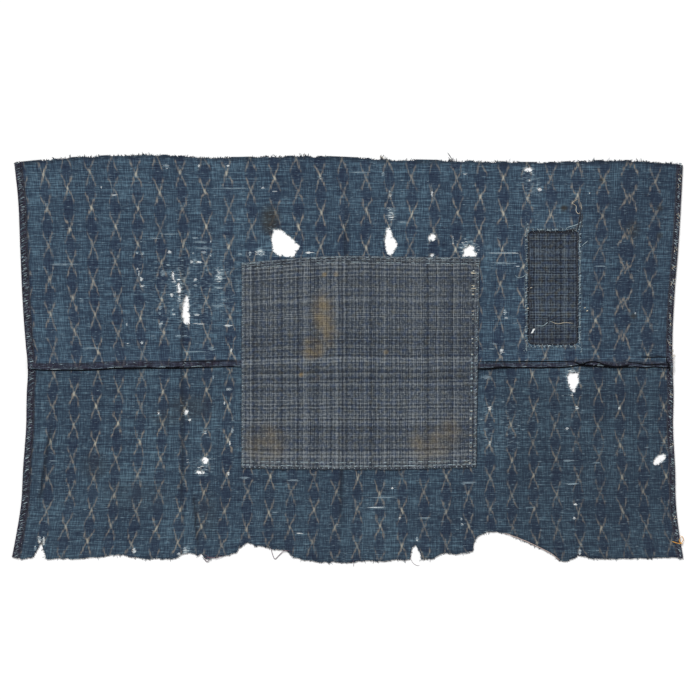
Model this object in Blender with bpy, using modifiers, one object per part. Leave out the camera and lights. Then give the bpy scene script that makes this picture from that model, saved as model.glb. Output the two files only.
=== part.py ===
"""A patched boro cloth lying on a flat surface.

Two loom widths of indigo cotton are lapped along a seam across the middle. A large check patch is
sewn over the seam, and a small one shows through a window cut in the upper width. The side edges
are hemmed, the top edge is raw, the bottom edge is torn, and both widths have worn holes.

Metres, +Z up, +X along the seam and +Y up the cloth, with the origin under the middle of its box.
The tables below are in millimetres.
"""

import math

import bmesh
import bpy
import numpy as np

MM = 0.001

# Thickness of each cloth, and the clearance that keeps two cloths apart where one lies on the other.
PANEL_THICK = 1.2
PATCH_THICK = 1.0
HEM_THICK = 2.0
CLEARANCE = 0.35

CELL = 26.0  # the widest that a face of the coarse sheet may be
LAP = 9.0  # the strip of the lower width that lies under the upper one
LEFT_HEM = 11.5
RIGHT_HEM = 8.5
HEM_STEP = 1.5  # how far in the hem's edge falls back to a single cloth
SIDE_REACH = 120.0  # how far in from a side edge the columns lean with it

# The side edges: height up the cloth, left edge, right edge.
SIDES = (
    (-330.0, -554.0, 554.0),
    (-285.0, -545.5, 546.5),
    (-240.0, -538.5, 541.5),
    (-180.0, -535.0, 540.0),
    (-110.0, -530.0, 536.5),
    (-55.0, -529.0, 537.5),
    (-16.0, -527.0, 536.0),
    (22.0, -530.5, 535.5),
    (98.0, -536.0, 538.5),
    (188.0, -540.0, 545.5),
    (260.0, -543.0, 550.0),
    (335.0, -551.0, 553.5),
)

# The raw top edge and the lip of the seam: distance along, height.
TOP_EDGE = (
    (-551.0, 323.0),
    (-455.0, 331.5),
    (-317.0, 336.0),
    (-225.0, 332.0),
    (-60.0, 334.0),
    (80.0, 328.5),
    (210.0, 326.0),
    (300.0, 323.5),
    (470.0, 326.5),
    (553.0, 320.5),
)
SEAM = (
    (-530.0, -16.6),
    (-412.0, -16.4),
    (-385.0, -14.4),
    (-300.0, -14.0),
    (-185.0, -11.5),
    (215.0, -15.5),
    (265.0, -13.5),
    (350.0, -12.5),
    (385.0, -9.5),
    (430.0, -11.5),
    (540.0, -13.0),
)
# The torn bottom edge, corner by corner: distance along, height.
FOOT = (
    (-554.0, -327.0),
    (-537.0, -329.5),
    (-520.0, -327.0),
    (-513.0, -316.0),
    (-505.5, -301.5),
    (-499.5, -320.0),
    (-496.5, -330.0),
    (-458.0, -329.5),
    (-405.0, -327.0),
    (-388.0, -322.0),
    (-367.0, -324.0),
    (-343.0, -328.5),
    (-284.0, -329.5),
    (-273.0, -321.5),
    (-261.0, -318.0),
    (-247.0, -325.0),
    (-242.0, -321.0),
    (-232.0, -330.5),
    (-194.0, -322.0),
    (-182.5, -319.0),
    (-179.5, -311.5),
    (-165.0, -302.0),
    (-151.0, -307.5),
    (-122.0, -312.5),
    (-100.5, -315.5),
    (-88.5, -327.0),
    (-69.0, -332.0),
    (-40.0, -334.5),
    (4.0, -335.5),
    (33.0, -332.0),
    (62.0, -333.5),
    (83.0, -330.0),
    (102.5, -331.5),
    (105.5, -312.0),
    (112.0, -306.0),
    (119.0, -318.0),
    (122.0, -330.5),
    (141.0, -329.0),
    (153.0, -322.0),
    (165.0, -319.0),
    (177.0, -322.0),
    (196.0, -319.0),
    (206.5, -315.5),
    (209.0, -299.0),
    (215.5, -291.5),
    (230.0, -285.0),
    (244.0, -284.0),
    (263.5, -288.5),
    (292.0, -299.5),
    (316.0, -310.5),
    (335.5, -320.5),
    (350.0, -332.0),
    (357.0, -334.5),
    (371.5, -329.0),
    (379.0, -324.0),
    (388.0, -324.0),
    (402.5, -329.0),
    (441.0, -329.0),
    (484.0, -328.5),
    (532.0, -327.0),
    (554.0, -328.5),
)

# Soft creases, each a ridge along a line: x and y of its foot, x and y of its head, half width, height.
CREASES = {
    "left": (-273.0, -330.0, -273.0, 250.0, 9.0, 1.6),
    "middle": (-13.0, -345.0, -1.0, 345.0, 10.0, 2.2),
}

# The ridge that the seam stands up in: distance along, height.
SEAM_RIDGE_HALF = 16.0
SEAM_RIDGE = (
    (-530.0, 2.4),
    (-420.0, 1.6),
    (-175.0, 1.2),
    (215.0, 1.2),
    (380.0, 1.6),
    (445.0, 3.2),
    (540.0, 2.2),
)
# How far from the seam's lip the lapped cloth lies level, and where it has come down again.
LAP_LEVEL = 11.0
LAP_DOWN = 22.0

# The window in the upper width, and how far the small patch reaches behind its border.
WINDOW = (297.0, 23.0, 381.0, 212.0)
WINDOW_CORNER = 9.0
SMALL_REACH = 8.0
SMALL_LEVEL = 11.0
SMALL_DOWN = 21.0

# The large patch: distance along and height of its lower and upper edges, from left to right.
LARGE_FOOT = (
    (-175.0, -179.5),
    (-78.0, -181.5),
    (86.0, -181.5),
    (212.0, -178.5),
)
LARGE_HEAD = (
    (-174.5, 158.5),
    (-17.0, 169.5),
    (110.0, 168.0),
    (218.0, 167.0),
)

# Worn holes: middle, width, height, how much wider the foot is than the head, and tilt in degrees.
UPPER_HOLES = {
    "wide_tear": (-103.0, 190.5, 42.0, 50.0, 0.25, 22.0),
    "left_slit": (-266.0, 81.0, 12.0, 53.0, 0.30, 0.0),
    "left_nick": (-278.5, 119.0, 6.5, 24.0, 0.0, 0.0),
    "middle_slit": (71.0, 194.5, 19.0, 50.0, 0.10, -4.0),
    "diamond": (139.5, 200.5, 14.0, 12.5, 0.0, 0.0),
    "star": (199.5, 181.0, 25.0, 22.0, 0.40, 0.0),
    "top_nick": (297.0, 312.5, 14.0, 8.5, 0.0, 0.0),
}
LOWER_HOLES = {
    "right_slit": (372.0, -37.5, 18.0, 34.0, 0.0, 6.0),
    "right_edge_slit": (514.5, -165.0, 12.0, 24.0, 0.0, -50.0),
    "left_round": (-235.0, -167.0, 13.0, 13.5, 0.0, 0.0),
    "left_flat": (-243.0, -186.5, 15.5, 7.0, 0.0, 0.0),
    "left_small": (-266.0, -87.0, 7.5, 10.5, 0.0, 0.0),
}
HOLE_SIDES = 14
CUTTER_HEIGHT = 40.0

COLOURS = {
    "panel_upper": (0.047, 0.092, 0.149),
    "panel_lower": (0.045, 0.087, 0.138),
    "patch_large": (0.098, 0.122, 0.162),
    "patch_small": (0.040, 0.052, 0.083),
}
CLOTH_ROUGHNESS = 0.95

X0, Y0, X1, Y1, HALF_WIDTH, HEIGHT = range(6)


def along(rows, at, column=1):
    """The smooth value of one column of a table at a place along its first column."""
    places = [row[0] for row in rows]
    values = [row[column] for row in rows]
    slopes = np.gradient(values, places)
    i = int(np.clip(np.searchsorted(places, at) - 1, 0, len(rows) - 2))
    step = places[i + 1] - places[i]
    t = min(max((at - places[i]) / step, 0.0), 1.0)
    ease = t * t * (3 - 2 * t)
    swing = step * t * (1 - t) * ((1 - t) * slopes[i] - t * slopes[i + 1])
    return values[i] * (1 - ease) + values[i + 1] * ease + swing


def soft(t):
    """A rounded ridge: 1 in the middle, 0 from one half width out."""
    return math.cos(math.pi * t / 2) ** 2 if abs(t) < 1 else 0.0


def fall(distance, level, down):
    """1 up to level, and 0 from down outwards, with a soft slope between."""
    t = min(max((distance - level) / (down - level), 0.0), 1.0)
    return 1 - t * t * (3 - 2 * t)


def seam(x):
    return along(SEAM, x)


def torn_edge(x):
    """The bottom edge, straight between its corners."""
    return float(np.interp(x, *zip(*FOOT)))


def outside(box, x, y):
    """How far a point is past the sides of a box given by its low and high corners."""
    x0, y0, x1, y1 = box
    return max(x0 - x, x - x1, y0 - y, y - y1, 0.0)


def crease_x(row, y):
    """Where a crease's line, carried on past both its ends, passes a height."""
    return row[X0] + (row[X1] - row[X0]) * (y - row[Y0]) / (row[Y1] - row[Y0])


def relief(x, y):
    """How far the creases and the seam's ridge lift the lowest cloth off the surface."""
    lift = along(SEAM_RIDGE, x) * soft((y - seam(x)) / SEAM_RIDGE_HALF)
    for row in CREASES.values():
        middle = (row[Y0] + row[Y1]) / 2
        half_length = (row[Y1] - row[Y0]) / 2
        fade = min(1.0, 3 * soft((y - middle) / half_length))
        lift = max(lift, row[HEIGHT] * fade * soft((x - crease_x(row, y)) / row[HALF_WIDTH]))
    return lift


def lower_lift(x, y):
    return relief(x, y)


def hem_share(x, y):
    """1 on the hems, easing to 0 a cell further in."""
    past_left = x - along(SIDES, y, 1) - LEFT_HEM
    past_right = along(SIDES, y, 2) - RIGHT_HEM - x
    return fall(min(past_left, past_right), HEM_STEP + CLEARANCE, CELL)


def upper_lift(x, y):
    """The upper width lies over the lower one's edge and over the small patch."""
    under = PANEL_THICK + (HEM_THICK - PANEL_THICK) * hem_share(x, y)
    over_lap = (under + CLEARANCE) * fall(y - seam(x), LAP_LEVEL, LAP_DOWN)
    over_small = (PATCH_THICK + CLEARANCE) * fall(outside(WINDOW, x, y), SMALL_LEVEL, SMALL_DOWN)
    return relief(x, y) + max(over_lap, over_small)


def large_lift(x, y):
    """The large patch lies on both widths and rides over the lip of the seam."""
    d = y - seam(x)
    step = fall(d, LAP_LEVEL, LAP_DOWN) if d > 0 else fall(-d, 3.0, 17.0)
    return relief(x, y) + (PANEL_THICK + CLEARANCE) * (1 + step)


def small_lift(x, y):
    return 0.0


def spread(marks, widest=CELL):
    """The marks in order, with more between any two that are further apart than the widest cell."""
    marks = sorted(marks)
    places = [marks[0]]
    for low, high in zip(marks, marks[1:]):
        parts = max(1, math.ceil((high - low) / widest))
        places += [low + (high - low) * k / parts for k in range(1, parts + 1)]
    return places


def panel_guides(y, creases, marks):
    """Where the hems, the creases and the marks of a panel are at one height.

    A mark near a side edge follows it from where it is at the foot.
    """
    left = along(SIDES, y, 1)
    right = along(SIDES, y, 2)
    _foot, from_left, from_right = SIDES[0]
    guides = [left, left + LEFT_HEM, left + LEFT_HEM + HEM_STEP]
    for name in creases:
        row = CREASES[name]
        half = row[HALF_WIDTH]
        guides += [crease_x(row, y) + half * k for k in (-1.0, -0.5, 0.0, 0.5, 1.0)]
    for mark in marks:
        lean = (left - from_left) * fall(mark - from_left, 0.0, SIDE_REACH)
        lean += (right - from_right) * fall(from_right - mark, 0.0, SIDE_REACH)
        guides.append(mark + lean)
    return guides + [right - RIGHT_HEM - HEM_STEP, right - RIGHT_HEM, right]


def sheet_object(name, columns, rows, place, lift, thick, hem=None):
    """A closed sheet of cloth: a grid laid out by place(column, row), lifted and given its thickness.

    Where hem(column) is true the sheet has the doubled thickness of a hem.
    """
    mesh = bpy.data.meshes.new(name)
    bm = bmesh.new()
    x_cells = len(columns) - 1
    y_cells = len(rows) - 1
    bmesh.ops.create_grid(bm, x_segments=x_cells, y_segments=y_cells, size=1.0)
    hem_layer = bm.verts.layers.deform.new()
    full = HEM_THICK if hem else thick
    for v in bm.verts:
        column = columns[round((v.co.x + 1) / 2 * x_cells)]
        row = rows[round((v.co.y + 1) / 2 * y_cells)]
        x, y = place(column, row)
        v.co = (x * MM, y * MM, lift(x, y) * MM)
        v[hem_layer][0] = 1.0 if hem and hem(column) else thick / full
    bm.to_mesh(mesh)
    bm.free()
    sheet = bpy.data.objects.new(name, mesh)
    sheet.vertex_groups.new(name="thickness")
    solid = sheet.modifiers.new("Cloth thickness", "SOLIDIFY")
    solid.thickness = full * MM
    solid.offset = 1.0
    solid.vertex_group = "thickness"
    material = bpy.data.materials.new(name)
    material.use_nodes = True
    shader = material.node_tree.nodes["Principled BSDF"]
    shader.inputs["Base Color"].default_value = (*COLOURS[name], 1.0)
    shader.inputs["Roughness"].default_value = CLOTH_ROUGHNESS
    shader.inputs["Metallic"].default_value = 0.0
    mesh.materials.append(material)
    parts.objects.link(sheet)
    return sheet


def panel(name, edges, level_rows, levels_at, creases, marks, lift):
    """One loom width.

    Levels are heights up the panel: level_rows at rest, and levels_at(x, foot_x) at a column whose
    distance along is x at rest and foot_x at the panel's foot.
    """
    rest = sum(edges) / 2
    resting = panel_guides(rest, creases, marks)
    order = np.argsort(resting)
    knots = np.array(resting)[order]
    columns = spread(knots)
    foot_guides = np.array(panel_guides(edges[0], creases, marks))[order]

    def place(column, row):
        foot_x = float(np.interp(column, knots, foot_guides))
        y = float(np.interp(row, level_rows, levels_at(column, foot_x)))
        guides = np.array(panel_guides(y, creases, marks))[order]
        return float(np.interp(column, knots, guides)), y

    def in_hem(column):
        return column <= knots[1] + 0.01 or column >= knots[-2] - 0.01

    return sheet_object(name, columns, spread(level_rows), place, lift, PANEL_THICK, in_hem)


def make_upper():
    x0, y0, x1, y1 = WINDOW
    marks = [x0 - SMALL_DOWN, x0 - SMALL_LEVEL, x1 + SMALL_LEVEL, x1 + SMALL_DOWN]
    low = along(SEAM, (x0 + x1) / 2)
    ramp = [5.5, LAP_LEVEL, 14.5, 18.0, LAP_DOWN]
    fixed = [y0 - SMALL_LEVEL + 2.0, y1 + SMALL_LEVEL, y1 + SMALL_DOWN]
    top = along(TOP_EDGE, (x0 + x1) / 2)
    level_rows = [low] + [low + d for d in ramp] + fixed + [top]

    def levels_at(x, _foot_x):
        return [seam(x)] + [seam(x) + d for d in ramp] + fixed + [along(TOP_EDGE, x)]

    sides = (low, top)
    return panel("panel_upper", sides, level_rows, levels_at, ("left", "middle"), marks, upper_lift)


def make_lower():
    taken = [(row[X0], row[HALF_WIDTH] + HEM_STEP) for row in CREASES.values()]
    marks = [x for x, _y in FOOT if all(abs(x - middle) > reach for middle, reach in taken)]
    hems = (FOOT[0][0] + LEFT_HEM + HEM_STEP, FOOT[-1][0] - RIGHT_HEM - HEM_STEP)
    marks = [x for x in marks if hems[0] < x < hems[1]]
    low = FOOT[0][1]
    ramp = [-SEAM_RIDGE_HALF, -11.0, -5.5, 0.0, LAP / 2, LAP]
    middle = seam(0.0)
    level_rows = [low] + [middle + d for d in ramp]

    def levels_at(x, foot_x):
        return [torn_edge(foot_x)] + [seam(x) + d for d in ramp]

    sides = (low, middle)
    creases = ("left", "middle")
    return panel("panel_lower", sides, level_rows, levels_at, creases, marks, lower_lift)


def make_large_patch():
    """The large patch, laid out between its lower and upper edges."""
    row = CREASES["middle"]
    knots = [LARGE_FOOT[0][0]] + [row[X0] + row[HALF_WIDTH] * k for k in (-1, -0.5, 0, 0.5, 1)]
    knots.append(LARGE_FOOT[-1][0])
    ramp = [-17.0, -10.0, -3.0, 0.0, 5.5, LAP_LEVEL, 14.5, 18.0, LAP_DOWN]
    middle = seam(0.0)
    level_rows = [LARGE_FOOT[0][1]] + [middle + d for d in ramp] + [LARGE_HEAD[0][1]]

    def place(column, level):
        foot = along(LARGE_FOOT, column)
        levels = [foot] + [seam(column) + d for d in ramp] + [along(LARGE_HEAD, column)]
        y = float(np.interp(level, level_rows, levels))
        up = (y - LARGE_FOOT[0][1]) / (LARGE_HEAD[0][1] - LARGE_FOOT[0][1])
        left = LARGE_FOOT[0][0] + (LARGE_HEAD[0][0] - LARGE_FOOT[0][0]) * up
        right = LARGE_FOOT[-1][0] + (LARGE_HEAD[-1][0] - LARGE_FOOT[-1][0]) * up
        crease = [crease_x(row, y) + row[HALF_WIDTH] * k for k in (-1, -0.5, 0, 0.5, 1)]
        return float(np.interp(column, knots, [left] + crease + [right])), y

    return sheet_object(
        "patch_large", spread(knots), spread(level_rows), place, large_lift, PATCH_THICK
    )


def make_small_patch():
    x0, y0, x1, y1 = WINDOW
    columns = spread([x0 - SMALL_REACH, x1 + SMALL_REACH])
    rows = spread([y0 - SMALL_REACH, y1 + SMALL_REACH])
    return sheet_object(
        "patch_small", columns, rows, lambda x, y: (x, y), small_lift, PATCH_THICK
    )


def hole_cutter(bm, x, y, width, height, taper, tilt):
    """Adds an upright prism, an oval that is wider at its foot by its taper, turned by its tilt."""
    made = bmesh.ops.create_cone(
        bm, cap_ends=True, segments=HOLE_SIDES, radius1=1.0, radius2=1.0, depth=1.0
    )
    turn = math.radians(tilt)
    for v in made["verts"]:
        across = v.co.x * width / 2 * (1 - taper * v.co.y)
        up = v.co.y * height / 2
        px = x + across * math.cos(turn) - up * math.sin(turn)
        py = y + across * math.sin(turn) + up * math.cos(turn)
        v.co = (px * MM, py * MM, v.co.z * CUTTER_HEIGHT * MM)


def window_cutter(bm):
    """Adds an upright block with rounded corners."""
    x0, y0, x1, y1 = WINDOW
    made = bmesh.ops.create_cube(bm, size=1.0)
    for v in made["verts"]:
        px = (x0 + x1) / 2 + v.co.x * (x1 - x0)
        py = (y0 + y1) / 2 + v.co.y * (y1 - y0)
        v.co = (px * MM, py * MM, v.co.z * CUTTER_HEIGHT * MM)
    edges = {e for v in made["verts"] for e in v.link_edges}
    upright = [e for e in edges if abs(e.verts[0].co.z - e.verts[1].co.z) > MM]
    bmesh.ops.bevel(bm, geom=upright, offset=WINDOW_CORNER * MM, segments=4, affect="EDGES", profile=0.5)


def cut(sheet, holes, window=False):
    """Cuts a sheet's holes, and its window, with one Boolean."""
    mesh = bpy.data.meshes.new(sheet.name + "_holes")
    bm = bmesh.new()
    for row in holes.values():
        hole_cutter(bm, *row)
    if window:
        window_cutter(bm)
    bm.to_mesh(mesh)
    bm.free()
    cutter = bpy.data.objects.new(mesh.name, mesh)
    cutter.hide_render = True
    cutter.display_type = "WIRE"
    cutters.objects.link(cutter)
    boolean = sheet.modifiers.new("Worn holes", "BOOLEAN")
    boolean.object = cutter
    boolean.operation = "DIFFERENCE"
    boolean.solver = "EXACT"


for old in list(bpy.data.objects):
    bpy.data.objects.remove(old)
parts = bpy.data.collections.new("boro_patched_cloth")
cutters = bpy.data.collections.new("cutters")
bpy.context.scene.collection.children.link(parts)
bpy.context.scene.collection.children.link(cutters)

cut(make_upper(), UPPER_HOLES, window=True)
cut(make_lower(), LOWER_HOLES)
make_large_patch()
make_small_patch()
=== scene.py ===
"""A patched boro cloth: two loom widths of kasuri cotton, a large check patch and a small dark one.

The sheets, stitches, frayed threads and finishes are made here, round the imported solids. The tables
are in millimetres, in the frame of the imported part: +X along the seam, +Y up the cloth, +Z out of it.
"""

import functools
import math

import bpy
import numpy as np
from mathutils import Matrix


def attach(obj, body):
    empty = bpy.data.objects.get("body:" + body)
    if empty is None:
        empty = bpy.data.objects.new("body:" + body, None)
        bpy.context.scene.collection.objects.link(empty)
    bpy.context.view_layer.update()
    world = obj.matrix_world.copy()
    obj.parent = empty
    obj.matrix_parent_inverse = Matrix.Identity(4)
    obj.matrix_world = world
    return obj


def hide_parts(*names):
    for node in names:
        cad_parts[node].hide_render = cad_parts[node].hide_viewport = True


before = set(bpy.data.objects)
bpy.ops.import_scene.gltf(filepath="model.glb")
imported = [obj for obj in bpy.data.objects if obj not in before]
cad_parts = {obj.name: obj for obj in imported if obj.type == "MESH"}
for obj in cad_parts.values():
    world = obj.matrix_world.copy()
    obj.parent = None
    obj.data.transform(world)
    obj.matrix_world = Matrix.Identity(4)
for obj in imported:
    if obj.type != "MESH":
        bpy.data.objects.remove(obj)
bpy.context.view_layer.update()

MM = 0.001

# ---------------- sizes

PANEL_THICK = 1.2
PATCH_THICK = 1.0
HEM_THICK = 2.0
CLEARANCE = 0.35
LAP = 9.0  # the strip of the lower width under the upper one
LEFT_HEM = 11.5
RIGHT_HEM = 8.5
CUT_WIDTH = 1090.0  # a loom width's cut length, hem to hem
LARGE_HEIGHT = 345.0
THREAD_PITCH = 1.65  # drawn two threads at a time, so that the weave shows
WEAVE_DEPTH = 0.0006  # metres, and coarse for the same reason
TWIST_DEPTH = 0.0002
MM_IN_A_METRE = 1000.0
RANDOM_SEED = 7
HEM_STEP = 1.5  # how far in a hem falls back to a single cloth
HEM_EASE = 26.0

# Height up the cloth, left edge, right edge.
SIDES = (
    (-330, -554, 554), (-285, -545.5, 546.5), (-240, -538.5, 541.5), (-180, -535, 540), (-110, -530, 536.5),
    (-55, -529, 537.5), (-16, -527, 536), (22, -530.5, 535.5), (98, -536, 538.5), (188, -540, 545.5),
    (260, -543, 550), (335, -551, 553.5),
)
# Distance along, height.
TOP_EDGE = (
    (-551, 323), (-455, 331.5), (-317, 336), (-225, 332), (-60, 334), (80, 328.5), (210, 326), (300, 323.5),
    (470, 326.5), (553, 320.5),
)
SEAM = (
    (-530, -16.6), (-412, -16.4), (-385, -14.4), (-300, -14), (-185, -11.5), (215, -15.5), (265, -13.5),
    (350, -12.5), (385, -9.5), (430, -11.5), (540, -13),
)
# The torn edge, corner by corner, and a line just below all of it.
FOOT = (
    (-554, -327), (-537, -329.5), (-520, -327), (-513, -316), (-505.5, -301.5), (-499.5, -320),
    (-496.5, -330), (-458, -329.5), (-405, -327), (-388, -322), (-367, -324), (-343, -328.5),
    (-284, -329.5), (-273, -321.5), (-261, -318), (-247, -325), (-242, -321), (-232, -330.5), (-194, -322),
    (-182.5, -319), (-179.5, -311.5), (-165, -302), (-151, -307.5), (-122, -312.5), (-100.5, -315.5),
    (-88.5, -327), (-69, -332), (-40, -334.5), (4, -335.5), (33, -332), (62, -333.5), (83, -330),
    (102.5, -331.5), (105.5, -312), (112, -306), (119, -318), (122, -330.5), (141, -329), (153, -322),
    (165, -319), (177, -322), (196, -319), (206.5, -315.5), (209, -299), (215.5, -291.5), (230, -285),
    (244, -284), (263.5, -288.5), (292, -299.5), (316, -310.5), (335.5, -320.5), (350, -332), (357, -334.5),
    (371.5, -329), (379, -324), (388, -324), (402.5, -329), (441, -329), (484, -328.5), (532, -327),
    (554, -328.5),
)
BELOW_FOOT = ((-554, -333), (0, -340), (554, -333))
# Creases: x and y of the foot, x and y of the head, half width, height.
CREASES = (
    (-273, -330, -273, 250, 9, 1.6), (-13, -345, -1, 345, 10, 2.2), (-512, -250, -486, -90, 7, 2.2),
    (-244, -320, -257, -210, 6, 1.3), (484, 3, 530, 4, 3, 0),
)
SEAM_RIDGE_HALF = 16.0
SEAM_RIDGE = ((-530, 2.4), (-420, 1.6), (-175, 1.2), (215, 1.2), (380, 1.6), (445, 3.2), (540, 2.2))
LAP_LEVEL = 11.0
LAP_DOWN = 22.0
WINDOW = (297, 23, 381, 212)
WINDOW_CORNER = 9.0
SMALL_REACH = 8.0
SMALL_LEVEL = 11.0
SMALL_DOWN = 21.0
LARGE_FOOT = ((-175, -179.5), (-78, -181.5), (86, -181.5), (212, -178.5))
LARGE_HEAD = ((-174.5, 158.5), (-17, 169.5), (110, 168), (218, 167))

# Worn holes whose outlines are drawn corner by corner.
DRAWN_HOLES = {
    "wide_tear": (
        (-123, 216), (-111, 214.5), (-100, 207), (-90, 198), (-78, 186), (-81.5, 179.5), (-88.5, 167.5),
        (-100, 168.5), (-117, 171.5), (-124, 178), (-126, 186.5), (-125.5, 198),
    ),
    "left_slit": (
        (-266.5, 107), (-263, 104.5), (-260.5, 91), (-260, 74), (-260, 55), (-269, 57.5), (-274.5, 67.5),
        (-272, 96),
    ),
    "middle_slit": (
        (63.5, 220), (70, 218.5), (75, 203), (84, 189.5), (78.5, 178), (73.5, 172.5), (69, 170),
        (64.5, 174), (60.5, 190), (61, 202),
    ),
    "star": (
        (199.5, 191.5), (203.5, 186.5), (209, 186.5), (209, 181), (214, 175), (212, 169.5), (187, 169),
        (191.5, 175.5), (190, 182), (196.5, 184.5),
    ),
    "right_slit": (
        (364.5, -20.5), (370, -22), (380, -21.5), (383, -33), (379, -44), (376, -54.5), (368, -53),
        (364, -41), (362, -30),
    ),
}
# Smaller worn holes: middle, width, height, tilt in degrees.
OVAL_HOLES = (
    (-278.5, 119, 6.5, 24, 0), (-288, 138, 4, 18, 0), (-250, 160, 10, 4, 0), (139.5, 200.5, 14, 13, 0),
    (139.5, 171.5, 13, 6, 0), (297, 312.5, 15, 9, 10), (300.5, 295, 5, 5, 0), (316, 280.5, 9, 6, 0),
    (191.5, 305, 3, 8, 0), (71, 271.5, 4, 5, 0), (-44.5, 298, 3.5, 4, 0), (514.5, -165, 13, 27, -50),
    (-235, -167, 13, 13.5, 0), (-243, -186.5, 15.5, 7, -5), (-266.5, -87, 7.5, 10.5, 0),
    (-235, -119, 4.5, 5.5, 0), (-189, -100.5, 4, 5, 0), (-311, -89, 4, 4, 0), (-266.5, -168, 4, 4.5, 0),
    (-362, 23, 4, 4, 0), (-440, 97, 3.5, 4.5, 0),
)
OVAL_SIDES = 12

# ---------------- shape helpers

LUMP_CELLS = 256


def along(rows, at, column=1):
    """The smooth value of one column of a table at places along its first column."""
    table = np.array(rows, dtype=float)
    places, values = table[:, 0], table[:, column]
    slopes = np.gradient(values, places)
    at = np.clip(at, places[0], places[-1])
    i = np.clip(np.searchsorted(places, at) - 1, 0, len(places) - 2)
    step = places[i + 1] - places[i]
    t = (at - places[i]) / step
    ease = t * t * (3 - 2 * t)
    swing = step * t * (1 - t) * ((1 - t) * slopes[i] - t * slopes[i + 1])
    return values[i] * (1 - ease) + values[i + 1] * ease + swing


def soft(t):
    """A rounded ridge: 1 in the middle, 0 from one half width out."""
    return np.where(np.abs(t) < 1, np.cos(np.pi * t / 2) ** 2, 0.0)


def fall(distance, level, down):
    """1 up to level, and 0 from down outwards, with a soft slope between."""
    t = np.clip((distance - level) / (down - level), 0.0, 1.0)
    return 1 - t * t * (3 - 2 * t)


@functools.cache
def lump_table(seed):
    return np.random.default_rng(seed).uniform(-1, 1, (LUMP_CELLS, LUMP_CELLS))


def lumps(x, y, size, seed, stretch=1.0):
    """Smooth random lumps, size millimetres across, from -1 to 1; stretch draws them out along X."""
    cells, table = LUMP_CELLS, lump_table(seed)
    u = np.asarray(x) / (size * stretch) + 97.3
    v = np.asarray(y) / size + 61.7
    i, j = np.floor(u).astype(int), np.floor(v).astype(int)
    s, t = u - i, v - j
    s, t = s * s * (3 - 2 * s), t * t * (3 - 2 * t)
    low = table[i % cells, j % cells] * (1 - s) + table[(i + 1) % cells, j % cells] * s
    high = table[i % cells, (j + 1) % cells] * (1 - s) + table[(i + 1) % cells, (j + 1) % cells] * s
    return low * (1 - t) + high * t


def spots(x, y, rows):
    """The strongest of a table of soft oval spots: middle x and y, half width, half height, strength."""
    total = np.zeros_like(x)
    for cx, cy, half_x, half_y, strength in rows:
        reach = np.hypot((x - cx) / half_x, (y - cy) / half_y)
        total = np.maximum(total, strength * fall(reach, 0.35, 1.25))
    return total


def seam(x):
    """The upper width's lip, which wanders a little, and more where it is folded at the right."""
    wander = 0.6 + 0.8 * fall(np.abs(x - 450), 20.0, 90.0)
    return along(SEAM, x) + wander * lumps(x, 0 * x, 16.0, 4)


def ovals():
    """The outlines of the smaller holes."""
    for cx, cy, width, height, tilt in OVAL_HOLES:
        a = np.linspace(0, 2 * np.pi, OVAL_SIDES, endpoint=False)
        px, py = np.cos(a) * width / 2, np.sin(a) * height / 2
        turn = math.radians(tilt)
        yield np.stack(
            [cx + px * np.cos(turn) - py * np.sin(turn), cy + px * np.sin(turn) + py * np.cos(turn)], 1
        )


def to_outline(x, y, outline):
    """How far points are outside a closed outline, less than 0 inside it."""
    start = np.asarray(outline, dtype=float)
    run = np.roll(start, -1, 0) - start
    px, py = x[:, None] - start[:, 0], y[:, None] - start[:, 1]
    t = np.clip((px * run[:, 0] + py * run[:, 1]) / (run**2).sum(1), 0, 1)
    away = np.hypot(px - t * run[:, 0], py - t * run[:, 1]).min(1)
    end_y = start[:, 1] + run[:, 1]
    crosses = (start[:, 1] > y[:, None]) != (end_y > y[:, None])
    rise = np.where(run[:, 1] == 0, 1e-9, run[:, 1])
    crosses &= px < run[:, 0] * py / rise
    return np.where(crosses.sum(1) % 2 == 1, -away, away)


HOLES = [np.array(points) for points in DRAWN_HOLES.values()] + list(ovals())
NEAR_HOLE = 14.0


def from_holes(x, y):
    """How far each point is from the nearest worn hole, up to a limit."""
    flat_x, flat_y = np.ravel(x), np.ravel(y)
    away = np.full(flat_x.shape, NEAR_HOLE)
    for outline in HOLES:
        low, high = outline.min(0) - NEAR_HOLE, outline.max(0) + NEAR_HOLE
        near = (flat_x > low[0]) & (flat_x < high[0]) & (flat_y > low[1]) & (flat_y < high[1])
        if near.any():
            here = to_outline(flat_x[near], flat_y[near], outline)
            away[near] = np.minimum(away[near], here)
    return away.reshape(np.shape(x))


def to_window(x, y):
    """How far a point is outside the small patch's window, less than 0 inside it."""
    x0, y0, x1, y1 = WINDOW
    dx = np.abs(x - (x0 + x1) / 2) - (x1 - x0) / 2 + WINDOW_CORNER
    dy = np.abs(y - (y0 + y1) / 2) - (y1 - y0) / 2 + WINDOW_CORNER
    inner = np.minimum(np.maximum(dx, dy), 0)
    away = np.hypot(np.maximum(dx, 0), np.maximum(dy, 0)) + inner - WINDOW_CORNER
    return away + 0.9 * lumps(x, y, 13.0, 15) + 0.5 * lumps(x, y, 5.0, 18)


def torn_edge(x):
    return np.interp(x, *zip(*FOOT))


def ragged(x, y, seed):
    """The unevenness of a worn or torn edge."""
    return 0.9 * lumps(x, y, 5.0, seed) + 0.6 * lumps(x, y, 2.4, seed + 1)


def upper_inside(x, y):
    """How far inside the upper width's cut edges a point is, less than 0 outside them."""
    raw = along(TOP_EDGE, x) - y + 1.1 * ragged(x, y, 11) + 1.3 * lumps(x, y, 13.0, 10)
    holes = from_holes(x, y) + ragged(x, y, 13)
    return np.minimum(np.minimum(raw, holes), to_window(x, y))


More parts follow.
